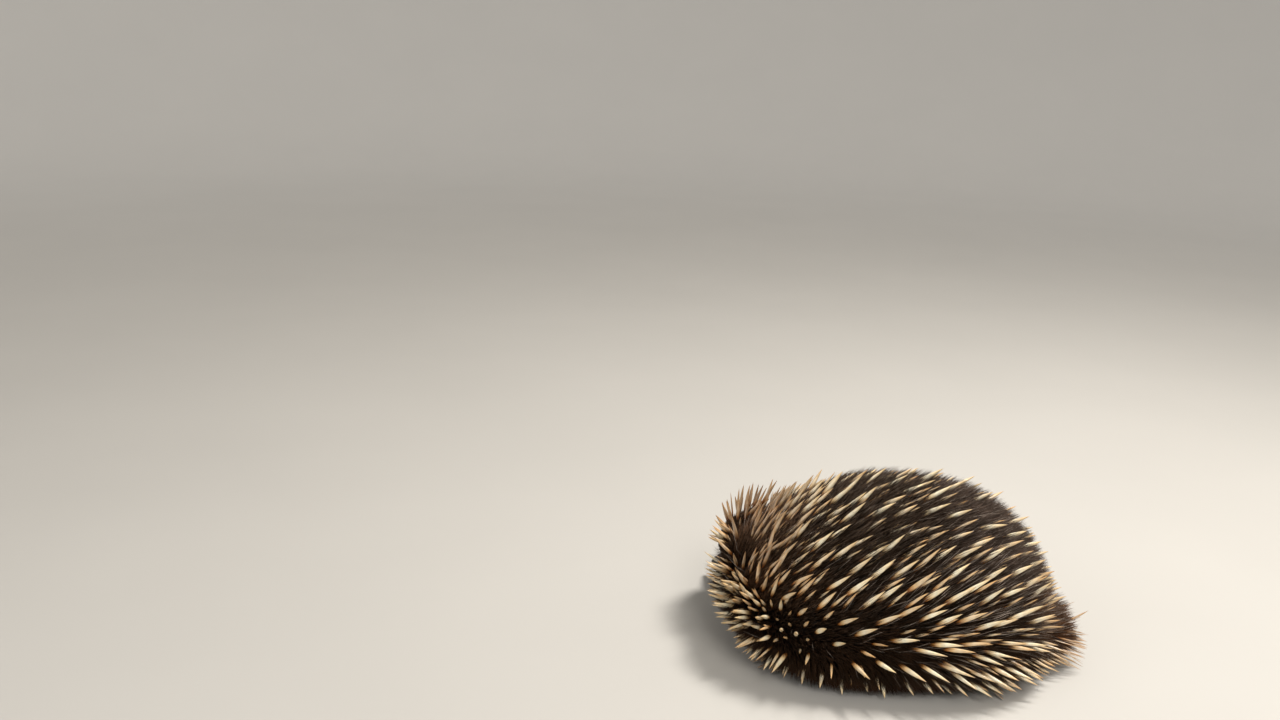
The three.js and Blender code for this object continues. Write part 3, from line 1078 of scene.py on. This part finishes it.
def spiny(points, normals):
    """Where spines grow: the body and the crown, but not the face, the belly, the legs or the feet."""
    head = to_head(points)
    beside_head = np.linalg.norm(head[:, 1:], axis=1)
    bare = np.where((head[:, 1] < 0) & (head[:, 2] > -0.004), 0.034, 0.045)
    face = (head[:, 0] < 0.004) & (beside_head < bare) & ~((head[:, 0] > -0.012) & (head[:, 2] > 0.016))
    under_chin = (head[:, 0] < 0.030) & (head[:, 2] < -0.012) & (beside_head < 0.045)
    under = -0.60 - 0.24 * (1 - ease(along_body(points), 0.35, 0.55))
    low = (points[:, 2] < 0.013) | (normals[:, 2] < under)
    legs = np.zeros(len(points), bool)
    for leg in LEGS:
        _, ankle = leg_ends(leg)
        legs |= np.linalg.norm(points - ankle, axis=1) < 0.024
    return ~(face | under_chin | low | legs)


def front_hem(share, up):
    """Where the coat of the front half turns under to the floor."""
    return (1 - ease(share, 0.32, 0.48)) * (1 - ease(up, -0.3, 0.3))


def tail_notch(share, up):
    """Behind the rump, where the dome's outline dips towards the tail."""
    return ease(share, 0.84, 0.95) * (1 - ease(up, 0.70, 0.95))


def front_end(share):
    """The very front, at the nape's lowest spines."""
    return 1 - ease(share, 0.03, 0.16)


def spine_habit(points, normals):
    """How spines grow at each place: spacing, length, thickness and brownness, which at the nape is a painted
    shade.
    """
    sizes = settings().spines
    share = along_body(points)
    up = normals[:, 2]
    nape = (1 - ease(share, 0.10, 0.30)) * ease(up, -0.05, 0.45)
    front = 1 - ease(share, 0.14, 0.34)
    top = ease(up, 0.62, 0.92) * ease(share, 0.26, 0.46)
    rear = ease(share, 0.42, 0.70)
    low = 1 - ease(up, 0.0, 0.45)
    end = ease(share, 0.81, 0.96) * (1 - ease(up, 0.35, 0.90))
    rump = ease(share, 0.60, 0.80) * ease(up, 0.05, 0.30) * (1 - end)
    hem = front_hem(share, up)
    head = to_head(points)
    away = np.linalg.norm(head, axis=1)
    collar = ease(away, 0.026, 0.034) * (1 - ease(away, 0.046, 0.062))
    collar = collar * (1 - ease(head[:, 2], 0.0, 0.012))
    spacing = 1 - 0.45 * front - 0.03 * nape + 0.02 * top + 0.65 * top * rear - 0.39 * low * rear
    spacing = sizes.spacing * (spacing - 0.09 * front * low - 0.06 * hem)
    spacing = spacing * (1 - 0.47 * end + 0.26 * rump + 0.25 * collar)
    length = sizes.length * (1 - 0.06 * nape - 0.04 * front * low + 0.06 * end - 0.01 * low * rear)
    length = length * (1 + 0.26 * front_end(share))
    width = 1 - 0.25 * nape - 0.56 * end - 0.14 * front * low + 0.04 * top - 0.13 * low * rear
    # Brownness: at the nape it is painted shade of the crowded spines; at the rear end the spines' brown.
    return spacing, length, sizes.width * width, np.clip(1.15 * nape + 1.0 * end, 0, 1)


def backwards(points):
    """The direction to the tail, which on the crown turns to the back of the head."""
    head = to_head(points)
    beside = np.linalg.norm(head[:, 1:], axis=1)
    on_head = (1 - ease(head[:, 0], 0.0, 0.045)) * (1 - ease(beside, 0.030, 0.050))
    body = np.tile((1.0, 0.0, 0.0), (len(points), 1))
    return unit(mix(body, head_turn()[:, 0] * np.ones((len(points), 1)), on_head))


def dome_normal(points):
    """The way out of the dome, from its slope."""
    step = 0.0001
    slopes = [dome_share(points + step * axis) - dome_share(points - step * axis) for axis in np.eye(3)]
    return unit(np.stack(slopes, axis=1))


def off_dome(points):
    """From 0 on the dome to 1 round the head, past the dome's end and on its underside."""
    from_middle = np.linalg.norm(to_head(points), axis=1)
    off = 1 - ease(from_middle, 0.045, 0.075) + ease(dome_share(points), 0.88, 0.96)
    return np.clip(off + 1 - ease(dome_normal(points)[:, 2], -0.45, -0.15), 0, 1)


def coat_normal(points, normals):
    """The way out of the coat: the dome's normal, or the skin's own where the dome isn't the skin's shape."""
    return unit(mix(dome_normal(points), normals, off_dome(points)))


def lean(points, normals):
    """How the coat leans away from the skin's normal: to the tail, and up to the middle of the back."""
    share = np.clip(along_body(points), 0, 1)
    up = np.maximum(normals[:, 2], LOWEST_FACING)
    factors = [np.ones(len(share)), share, share**2, up, up * share, up**2, up * share**2, up**2 * share]
    factors = np.stack(factors, axis=1)
    to_tail = np.clip(factors @ np.array(LEAN_BACK), *LEAN_BACK_RANGE)
    to_back = np.clip(factors @ np.array(LEAN_UP), *LEAN_UP_RANGE)
    upwards = np.array((0.0, 0.0, 1.0)) - normals * normals[:, 2:]
    return backwards(points) * to_tail[:, None] + upwards * to_back[:, None]


def clear_floor(roots, directions, length, height):
    """Turns up the directions that would end below the floor."""
    floor = (height - roots[:, 2]) / length
    level = directions.copy()
    level[:, 2] = np.maximum(level[:, 2], floor)
    return unit(level)


def trim_to_coat(roots, directions, length, limit):
    """Shortens what would reach out of the coat's outline past limit, a share of its size at each root."""
    for _ in range(12):
        outside = coat_share(roots + directions * length[:, None]) > limit
        length = np.where(outside, length * 0.95, length)
    return length


def grow_spines(skin):
    """Large spines first, then smaller ones in the gaps between them."""
    sizes = settings().spines
    random = np.random.default_rng(SEEDS["spines"])
    points, normals = scatter(skin.data, 60000, lambda p, n: np.ones(len(p)), random)
    allowed = spiny(points, normals)
    points, normals = points[allowed], normals[allowed]
    spacing = spine_habit(points, normals)[0] * random.uniform(0.85, 1.2, len(points))
    large = spread_out(points, spacing)
    small = spread_out(points, spacing * sizes.gap / sizes.spacing, points[large])
    chosen = np.concatenate([large, small])
    is_small = np.arange(len(chosen)) >= len(large)
    roots, skin_normals = points[chosen], normals[chosen]
    out = coat_normal(roots, skin_normals)
    _, length, width, brown = spine_habit(roots, out)
    number = len(roots)
    length = length * np.where(is_small, random.uniform(0.52, 0.86, number), random.uniform(0.88, 1.08, number))
    width = width * np.where(is_small, random.uniform(0.50, 0.80, number), random.uniform(0.88, 1.10, number))
    stray = random.normal(0, 1, (number, 3)) * (sizes.jitter * (1 + 0.8 * brown))[:, None]
    heading = unit(out + lean(roots, out) + stray)
    heading = clear_floor(roots, heading, length, 0.0025)
    share = along_body(roots)
    up = out[:, 2]
    low = ease(share, 0.4, 0.6) * (1 - ease(up, -0.2, 0.2))
    room = 0.14 * tail_notch(share, up) + 0.23 * front_end(share) + 0.07 * ease(up, 0.4, 0.8) + 0.05 * low
    room = room + 0.10 * front_hem(share, up)
    length = trim_to_coat(roots, heading, length, random.uniform(0.97, 1.05, number) + room)
    bend = unit(heading + backwards(roots) * 0.08 + random.normal(0, 0.03, (number, 3)))
    bend = clear_floor(roots, bend, length, 0.0020)
    pale = np.array((1.0, 1.0, 1.0)) * random.uniform(0.82, 1.06, (number, 1))
    amber = np.array((0.78, 0.58, 0.42)) * random.uniform(0.8, 1.1, (number, 1))
    umber_and_nape_shade = np.array((0.46, 0.33, 0.26)) * random.uniform(0.7, 1.25, (number, 1))
    tint = mix(pale, amber, np.where(is_small, random.uniform(0.4, 1.0, number), random.beta(1, 3, number)))
    # Painted shade: the nape's spines are mixed towards umber; so are the thin brown spines of the rear end.
    tint = mix(tint, umber_and_nape_shade, np.clip(brown * random.uniform(0.7, 1.1, number), 0, 1))
    return {
        "root": roots - skin_normals * 0.002,
        "start": heading,
        "end": bend,
        "side": unit(np.cross(heading, out) + 1e-4),
        "length": length,
        "width": width,
        "tint": tint,
    }


def grow_pieces(name, template, tufts, centre, slot, material):
    """Makes the tufts as one piece, or as several where they are many, split from the head end to the tail."""
    bands = math.ceil(len(tufts["root"]) * len(template["triangles"]) / PIECE_TRIANGLES)
    order = np.argsort(tufts["root"][:, 0], kind="stable")
    for index, chosen in enumerate(np.array_split(order, bands)):
        part = {key: values[chosen] for key, values in tufts.items()}
        part["map"] = unwrap(part["root"], centre)
        finish_piece(make_tufts(f"{name}_{index + 1}", template, part), slot, material)


def clump(roots, tips, number, random, pull):
    """Draws the tips of neighbouring locks together."""
    leaders = random.choice(len(roots), number, replace=False)
    tree = KDTree(number)
    for index, leader in enumerate(leaders):
        tree.insert(roots[leader], index)
    tree.balance()
    nearest = np.array([leaders[tree.find(root)[1]] for root in roots])
    return tips + (tips[nearest] - tips) * pull


def body_fur_weight(points, normals):
    """How dense the body's fur is: none on the face and the feet, thin on the belly, thick at the skirt."""
    face = near_face(to_head(points), 0.032, 0.006)
    legs = np.zeros(len(points), bool)
    for leg in LEGS:
        foot, _, _ = foot_axes(leg)
        legs |= (np.linalg.norm((points - foot)[:, :2], axis=1) < 0.026) & (points[:, 2] < 0.02)
    belly = (normals[:, 2] < -0.75) & (points[:, 2] < 0.02) & (dome_share(points) < 0.6)
    skirt = (normals[:, 2] < 0.1) & (points[:, 2] < 0.05)
    return np.where(face | legs, 0.0, np.where(belly, 0.15, np.where(skirt, 1.7, 1.0)))


def grow_fur(skin):
    """The dark coat between the spines, combed back and hanging at the flanks."""
    sizes = settings().fur
    random = np.random.default_rng(SEEDS["fur"])
    roots, skin_normals = scatter(skin.data, sizes.body_tufts, body_fur_weight, random)
    out = coat_normal(roots, skin_normals)
    share = along_body(roots)
    up = out[:, 2]
    nape = (1 - ease(share, 0.12, 0.32)) * ease(up, -0.05, 0.45)
    skirt = (1 - ease(up, -0.35, 0.15)) * (1 - 0.6 * ease(share, 0.38, 0.6))
    end = ease(share, 0.85, 0.98)
    top = ease(up, 0.45, 0.85)
    head = to_head(roots)
    near_head = 1 - ease(np.linalg.norm(head, axis=1), 0.030, 0.060)
    length = sizes.length * (1 + 0.22 * skirt - 0.12 * nape - 0.05 * end + 0.20 * top)
    length = length * (1 - 0.50 * near_head) * random.uniform(0.62, 1.15, len(roots))
    leaning = lean(roots, out) * (1 - 0.6 * skirt * (1 - end))[:, None]
    droop = np.array((0.0, 0.0, -1.0)) * (0.30 * skirt * (1 - end))[:, None]
    sideways = unit(out * (1, 1, 0) + 1e-6) * (0.8 * skirt)[:, None]
    stray = random.normal(0, 0.15, (len(roots), 3))
    least = backwards(roots) * 0.25
    start = unit(out * (1 + 0.4 * top[:, None]) + leaning * 0.5 + least + droop * 0.3 + sideways + stray)
    outward = out * (0.8 - 0.55 * skirt + 0.35 * top)[:, None]
    end_way = unit(outward + leaning * 0.85 + least * 1.6 + droop + sideways + stray)
    tips = clump(roots, roots + end_way * length[:, None], len(roots) // 9, random, 0.45)
    end_way = unit(tips - roots)
    near_floor = 1 - ease(roots[:, 2], 0.012, 0.040)
    notch = tail_notch(share, up) * ease(roots[:, 2], 0.05, 0.08)
    limit = random.uniform(0.74, 0.89, len(roots)) - 0.10 * nape + 0.14 * top * ease(share, 0.2, 0.4)
    hem = near_floor * (1 - ease(share, 0.40, 0.65))
    limit = limit + (0.04 + 0.12 * (1 - ease(share, 0.16, 0.30))) * hem
    limit = limit + 0.24 * notch - 0.08 * end + 0.05 * front_end(share)
    length = trim_to_coat(roots, unit(start + end_way), length, limit)
    end_way = clear_floor(roots, end_way, length, 0.0012)
    start = clear_floor(roots, start, length, 0.0012)
    tint = coat_colour(roots, out) * random.lognormal(0.0, 0.35, (len(roots), 1))
    return {
        "root": roots - skin_normals * 0.0012,
        "start": start,
        "end": end_way,
        "side": unit(random.normal(0, 1, (len(roots), 3))),
        "length": length,
        "width": sizes.width * random.uniform(0.7, 1.25, len(roots)),
        "tint": tint,
    }


def guard_hair_weight(points, normals):
    return spiny(points, normals) * (0.1 + ease(along_body(points), 0.3, 0.8))


def grow_guard_hairs(skin):
    """A few fine pale hairs that stand out of the coat; their pale colour is partly a painted highlight of the
    glossy coat.
    """
    sizes = settings().fur
    number = sizes.guard_hairs
    random = np.random.default_rng(SEEDS["guard_hairs"])
    roots, out = scatter(skin.data, number, guard_hair_weight, random)
    leaning = lean(roots, out)
    length = sizes.length * random.uniform(0.9, 1.4, number)
    start = clear_floor(roots, unit(out + leaning * 0.7 + random.normal(0, 0.2, (number, 3))), length, 0.002)
    end = clear_floor(roots, unit(out * 0.5 + leaning + random.normal(0, 0.25, (number, 3))), length, 0.002)
    length = trim_to_coat(roots, unit(start + end), length, random.uniform(0.90, 1.03, number))
    return {
        "root": roots - out * 0.001,
        "start": start,
        "end": end,
        "side": unit(random.normal(0, 1, (number, 3))),
        "length": length,
        "width": np.full(number, sizes.guard_width),
        # Partly painted highlight: the guard hairs' pale tint also stands for the gloss of the coat, densest
        # towards the rear.
        "tint": np.array((0.24, 0.20, 0.17)) * random.uniform(0.5, 1.3, (number, 1)),
    }


def face_fur_weight(points, normals):
    """How dense the face's fur is: none at the eyes and in the ears, thinning out on the beak."""
    head = to_head(points)
    beside = np.linalg.norm(head[:, 1:], axis=1)
    eye = near_eyes(head, 0.0075) & (eye_turn(head) < 1.0)
    ear = np.hypot((head[:, 0] - EAR_PLACE[0]) / 0.0020, (head[:, 2] - EAR_PLACE[2]) / 0.0068) < 1
    ear &= np.abs(head[:, 1]) > 0.015
    zone = near_face(head, 0.034, 0.012) & ~eye & ~ear
    thinning = ease(head[:, 0], -0.050, -0.036)
    crowded = 1 + 1.6 * (1 - ease(head[:, 0], -0.034, -0.010))
    return np.where(zone, (0.02 + 0.98 * thinning) * crowded, 0.0) * (head[:, 0] > -0.050) * (beside < 0.034)


def grow_face_fur(skin):
    """Short fur that lies back from the beak to the ears."""
    sizes = settings().fur
    random = np.random.default_rng(SEEDS["face_fur"])
    roots, out = scatter(skin.data, sizes.face_tufts, face_fur_weight, random)
    head = to_head(roots)
    back = head_turn()[:, 0]
    grown = ease(head[:, 0], -0.050, -0.004)
    from_eye = mirrored(head) - EYE_PLACE
    by_eye = 1 - ease(np.linalg.norm(from_eye, axis=1), 0.0060, 0.0115)
    before_ear = EAR_PLACE[0] - head[:, 0]
    by_ear = ease(before_ear, -0.001, 0.001) * (1 - ease(before_ear, 0.006, 0.012))
    by_ear = by_ear * (1 - ease(np.abs(head[:, 2] - EAR_PLACE[2]), 0.007, 0.011)) * (np.abs(head[:, 1]) > 0.014)
    length = sizes.face_length * (0.34 + 0.66 * grown) * random.uniform(0.7, 1.2, len(roots))
    length = length * (1 - 0.55 * by_eye) * (1 - 0.62 * by_ear)
    stray = random.normal(0, 0.14, (len(roots), 3))
    side = np.where(head[:, 1:2] > 0, 1.0, -1.0)
    same = np.ones_like(side)
    away = unit(from_eye * np.concatenate([same, side, same], axis=1)) @ head_turn().T
    around = away * (1.1 * by_eye)[:, None]
    start = unit(out * (0.26 + 0.74 * ease(grown, 0.0, 0.5))[:, None] + back * 0.7 + around + stray)
    end = unit(out * (0.14 + 0.20 * ease(grown, 0.0, 0.3))[:, None] + back + around + stray)
    tips = clump(roots, roots + end * length[:, None], len(roots) // 7, random, 0.35)
    tint = coat_colour(roots, out) * random.lognormal(0.0, 0.35, (len(roots), 1))
    return {
        "root": roots - out * 0.0005,
        "start": start,
        "end": unit(tips - roots),
        "side": unit(random.normal(0, 1, (len(roots), 3))),
        "length": length,
        "width": (0.00030 + 0.00022 * grown) * random.uniform(0.8, 1.2, len(roots)),
        "tint": tint,
    }


def grow_leg_fur(skin, leg):
    """Short stiff fur down a leg and over its foot, to the roots of the claws."""
    sizes = settings().fur
    random = np.random.default_rng(SEEDS["leg_fur"] + LEGS.index(leg))
    foot, toes, _ = foot_axes(leg)

    def weight(points, normals):
        near = (np.linalg.norm((points - foot)[:, :2], axis=1) < 0.029) & (points[:, 2] < 0.032)
        return near * (normals[:, 2] > -0.3) * 1.0

    roots, out = scatter(skin.data, sizes.leg_tufts, weight, random)
    lie = unit(toes + np.array((0, 0, -0.35)))
    ahead = (roots - foot) @ toes
    length = sizes.leg_length * (1 - 0.35 * ease(ahead, 0.0, 0.018)) * random.uniform(0.7, 1.2, len(roots))
    stray = random.normal(0, 0.16, (len(roots), 3))
    start = clear_floor(roots, unit(out * 0.8 + lie * 0.7 + stray), length, 0.001)
    end = clear_floor(roots, unit(out * 0.25 + lie + stray), length, 0.001)
    return {
        "root": roots - out * 0.0006,
        "start": start,
        "end": end,
        "side": unit(random.normal(0, 1, (len(roots), 3))),
        "length": length,
        "width": sizes.leg_width * random.uniform(0.7, 1.2, len(roots)),
        "tint": coat_colour(roots, out) * random.lognormal(0.1, 0.35, (len(roots), 1)),
    }


# The stage


def make_floor():
    """A wide round floor that curves up into a wall, from a profile spun round."""
    stage = bmesh.new()
    radius, wall, bend = 5.0, 3.0, 1.5
    profile = [stage.verts.new((0.01, 0, 0)), stage.verts.new((radius - bend, 0, 0))]
    for step in range(1, 9):
        turn = math.pi / 2 * step / 8
        at = (radius - bend + bend * math.sin(turn), 0, bend - bend * math.cos(turn))
        profile.append(stage.verts.new(at))
    profile.append(stage.verts.new((radius, 0, wall)))
    edges = [stage.edges.new(pair) for pair in zip(profile[:-1], profile[1:])]
    bmesh.ops.spin(
        stage,
        geom=profile + edges,
        cent=(0, 0, 0),
        axis=(0, 0, 1),
        angle=2 * math.pi,
        steps=64,
        use_merge=True,
    )
    bmesh.ops.holes_fill(stage, edges=stage.edges, sides=64)
    bmesh.ops.recalc_face_normals(stage, faces=stage.faces)
    made = object_from(stage, "studio_floor")
    made.data.materials.append(floor_material())


def add_light(name, place, size, power, tint):
    """A soft square light that shines from place at the animal."""
    lamp = bpy.data.lights.new(name, "AREA")
    lamp.shape = "SQUARE"
    lamp.size = size
    lamp.energy = power
    lamp.color = tint
    made = add_object(name, lamp)
    made.location = place
    made.rotation_euler = (Vector((0, 0, 0.05)) - Vector(place)).to_track_quat("-Z", "Y").to_euler()


def make_camera():
    view = settings().view
    camera = bpy.data.cameras.new("camera")
    camera.lens = view.lens
    camera.sensor_width = 36.0
    camera.clip_end = 50.0
    made = add_object("camera", camera)
    turned = (
        Matrix.Rotation(view.turn, 4, "Z")
        @ Matrix.Rotation(math.pi / 2 - view.pitch, 4, "X")
        @ Matrix.Rotation(view.roll, 4, "Z")
    )
    made.rotation_euler = turned.to_euler()
    made.location = view.camera
    bpy.context.scene.camera = made


# Operators


class ECHIDNA_OT_stage(bpy.types.Operator):
    """Make the floor, the lights and the camera"""

    bl_idname = "echidna.stage"
    bl_label = "Stage"

    def execute(self, context):
        make_camera()
        make_floor()
        add_light("key", (0.75, 0.3, 1.95), 0.45, 55, (1.0, 0.96, 0.90))
        add_light("fill", (-1.6, -1.5, 1.3), 1.4, 10, (0.94, 0.97, 1.0))
        add_light("front", (0.5, -1.5, 1.6), 0.8, 21, (1.0, 0.97, 0.92))
        world = bpy.data.worlds.new("studio")
        world.use_nodes = True
        world.node_tree.nodes["Background"].inputs["Color"].default_value = (0.95, 0.97, 1.0, 1.0)
        world.node_tree.nodes["Background"].inputs["Strength"].default_value = 0.29
        context.scene.world = world
        context.scene.view_settings.view_transform = "Standard"
        return {"FINISHED"}


class ECHIDNA_OT_skin(bpy.types.Operator):
    """Make the one skin under the coat"""

    bl_idname = "echidna.skin"
    bl_label = "Skin"

    def execute(self, context):
        flesh = ["trunk", "neck", "tail", "head", "beak", "ear_left", "ear_right"]
        flesh += [f"{part}_{leg}" for leg in LEGS for part in ("leg", "foot")]
        finish_piece(make_skin(), "body_fur", skin_material(), *flesh)
        return {"FINISHED"}


class ECHIDNA_OT_eyes(bpy.types.Operator):
    """Make the two eyeballs"""

    bl_idname = "echidna.eyes"
    bl_label = "Eyes"

    def execute(self, context):
        material = eye_material()
        for side in SIDES:
            finish_piece(make_eye(side), "eye", material, f"eye_{side}")
        return {"FINISHED"}


class ECHIDNA_OT_claws(bpy.types.Operator):
    """Make the claws of all four feet"""

    bl_idname = "echidna.claws"
    bl_label = "Claws"

    def execute(self, context):
        material = claw_material()
        for leg in LEGS:
            foot = middle(f"foot_{leg}")
            for digit in range(1, 6):
                node = f"claw_{leg}_{digit}"
                finish_piece(make_claw(node, foot), "claw_horn", material, node)
        return {"FINISHED"}


class ECHIDNA_OT_spines(bpy.types.Operator):
    """Grow the spines over the body and the crown"""

    bl_idname = "echidna.spines"
    bl_label = "Spines"

    def execute(self, context):
        tufts = grow_spines(bpy.data.objects["skin"])
        grow_pieces("spines", tuft_template(10, SPINE_PROFILE), tufts, COAT_MIDDLE, "spines", spine_material())
        return {"FINISHED"}


class ECHIDNA_OT_fur(bpy.types.Operator):
    """Grow the fur of the body, the face and the legs"""

    bl_idname = "echidna.fur"
    bl_label = "Fur"

    def execute(self, context):
        skin = bpy.data.objects["skin"]
        coat = fur_material()
        lock = tuft_template(3, LOCK_PROFILE)
        hair = tuft_template(3, HAIR_PROFILE)
        grow_pieces("fur", lock, grow_fur(skin), COAT_MIDDLE, "body_fur", coat)
        grow_pieces("guard_hairs", hair, grow_guard_hairs(skin), COAT_MIDDLE, "body_fur", coat)
        grow_pieces("face_fur", hair, grow_face_fur(skin), head_middle(), "face_fur", coat)
        for leg in LEGS:
            tufts = grow_leg_fur(skin, leg)
            grow_pieces(f"leg_fur_{leg}", hair, tufts, middle(f"foot_{leg}"), "body_fur", coat)
        return {"FINISHED"}


class ECHIDNA_PT_panel(bpy.types.Panel):
    """The echidna's pieces and their sizes"""

    bl_idname = "ECHIDNA_PT_panel"
    bl_label = "Echidna"
    bl_space_type = "VIEW_3D"
    bl_region_type = "UI"
    bl_category = "Echidna"

    def draw(self, context):
        for operator in OPERATORS:
            self.layout.operator(operator.bl_idname)
        for group in ("body", "head", "spines", "fur", "colours", "view"):
            box = self.layout.box()
            box.label(text=group.capitalize())
            values = getattr(context.scene.echidna, group)
            for key in values.bl_rna.properties.keys():
                if key not in ("rna_type", "name"):
                    box.prop(values, key)


OPERATORS = (
    ECHIDNA_OT_stage,
    ECHIDNA_OT_skin,
    ECHIDNA_OT_eyes,
    ECHIDNA_OT_claws,
    ECHIDNA_OT_spines,
    ECHIDNA_OT_fur,
)
GROUPS = (EchidnaBody, EchidnaHead, EchidnaSpines, EchidnaFur, EchidnaColours, EchidnaView, EchidnaSettings)


def register():
    for item in (*GROUPS, *OPERATORS, ECHIDNA_PT_panel):
        bpy.utils.register_class(item)
    bpy.types.Scene.echidna = bpy.props.PointerProperty(type=EchidnaSettings)


def unregister():
    del bpy.types.Scene.echidna
    for item in reversed((*GROUPS, *OPERATORS, ECHIDNA_PT_panel)):
        bpy.utils.unregister_class(item)


def main():
    register()
    bpy.ops.echidna.stage()
    bpy.ops.echidna.skin()
    bpy.ops.echidna.eyes()
    bpy.ops.echidna.claws()
    bpy.ops.echidna.spines()
    bpy.ops.echidna.fur()


if __name__ == "__main__":
    main()
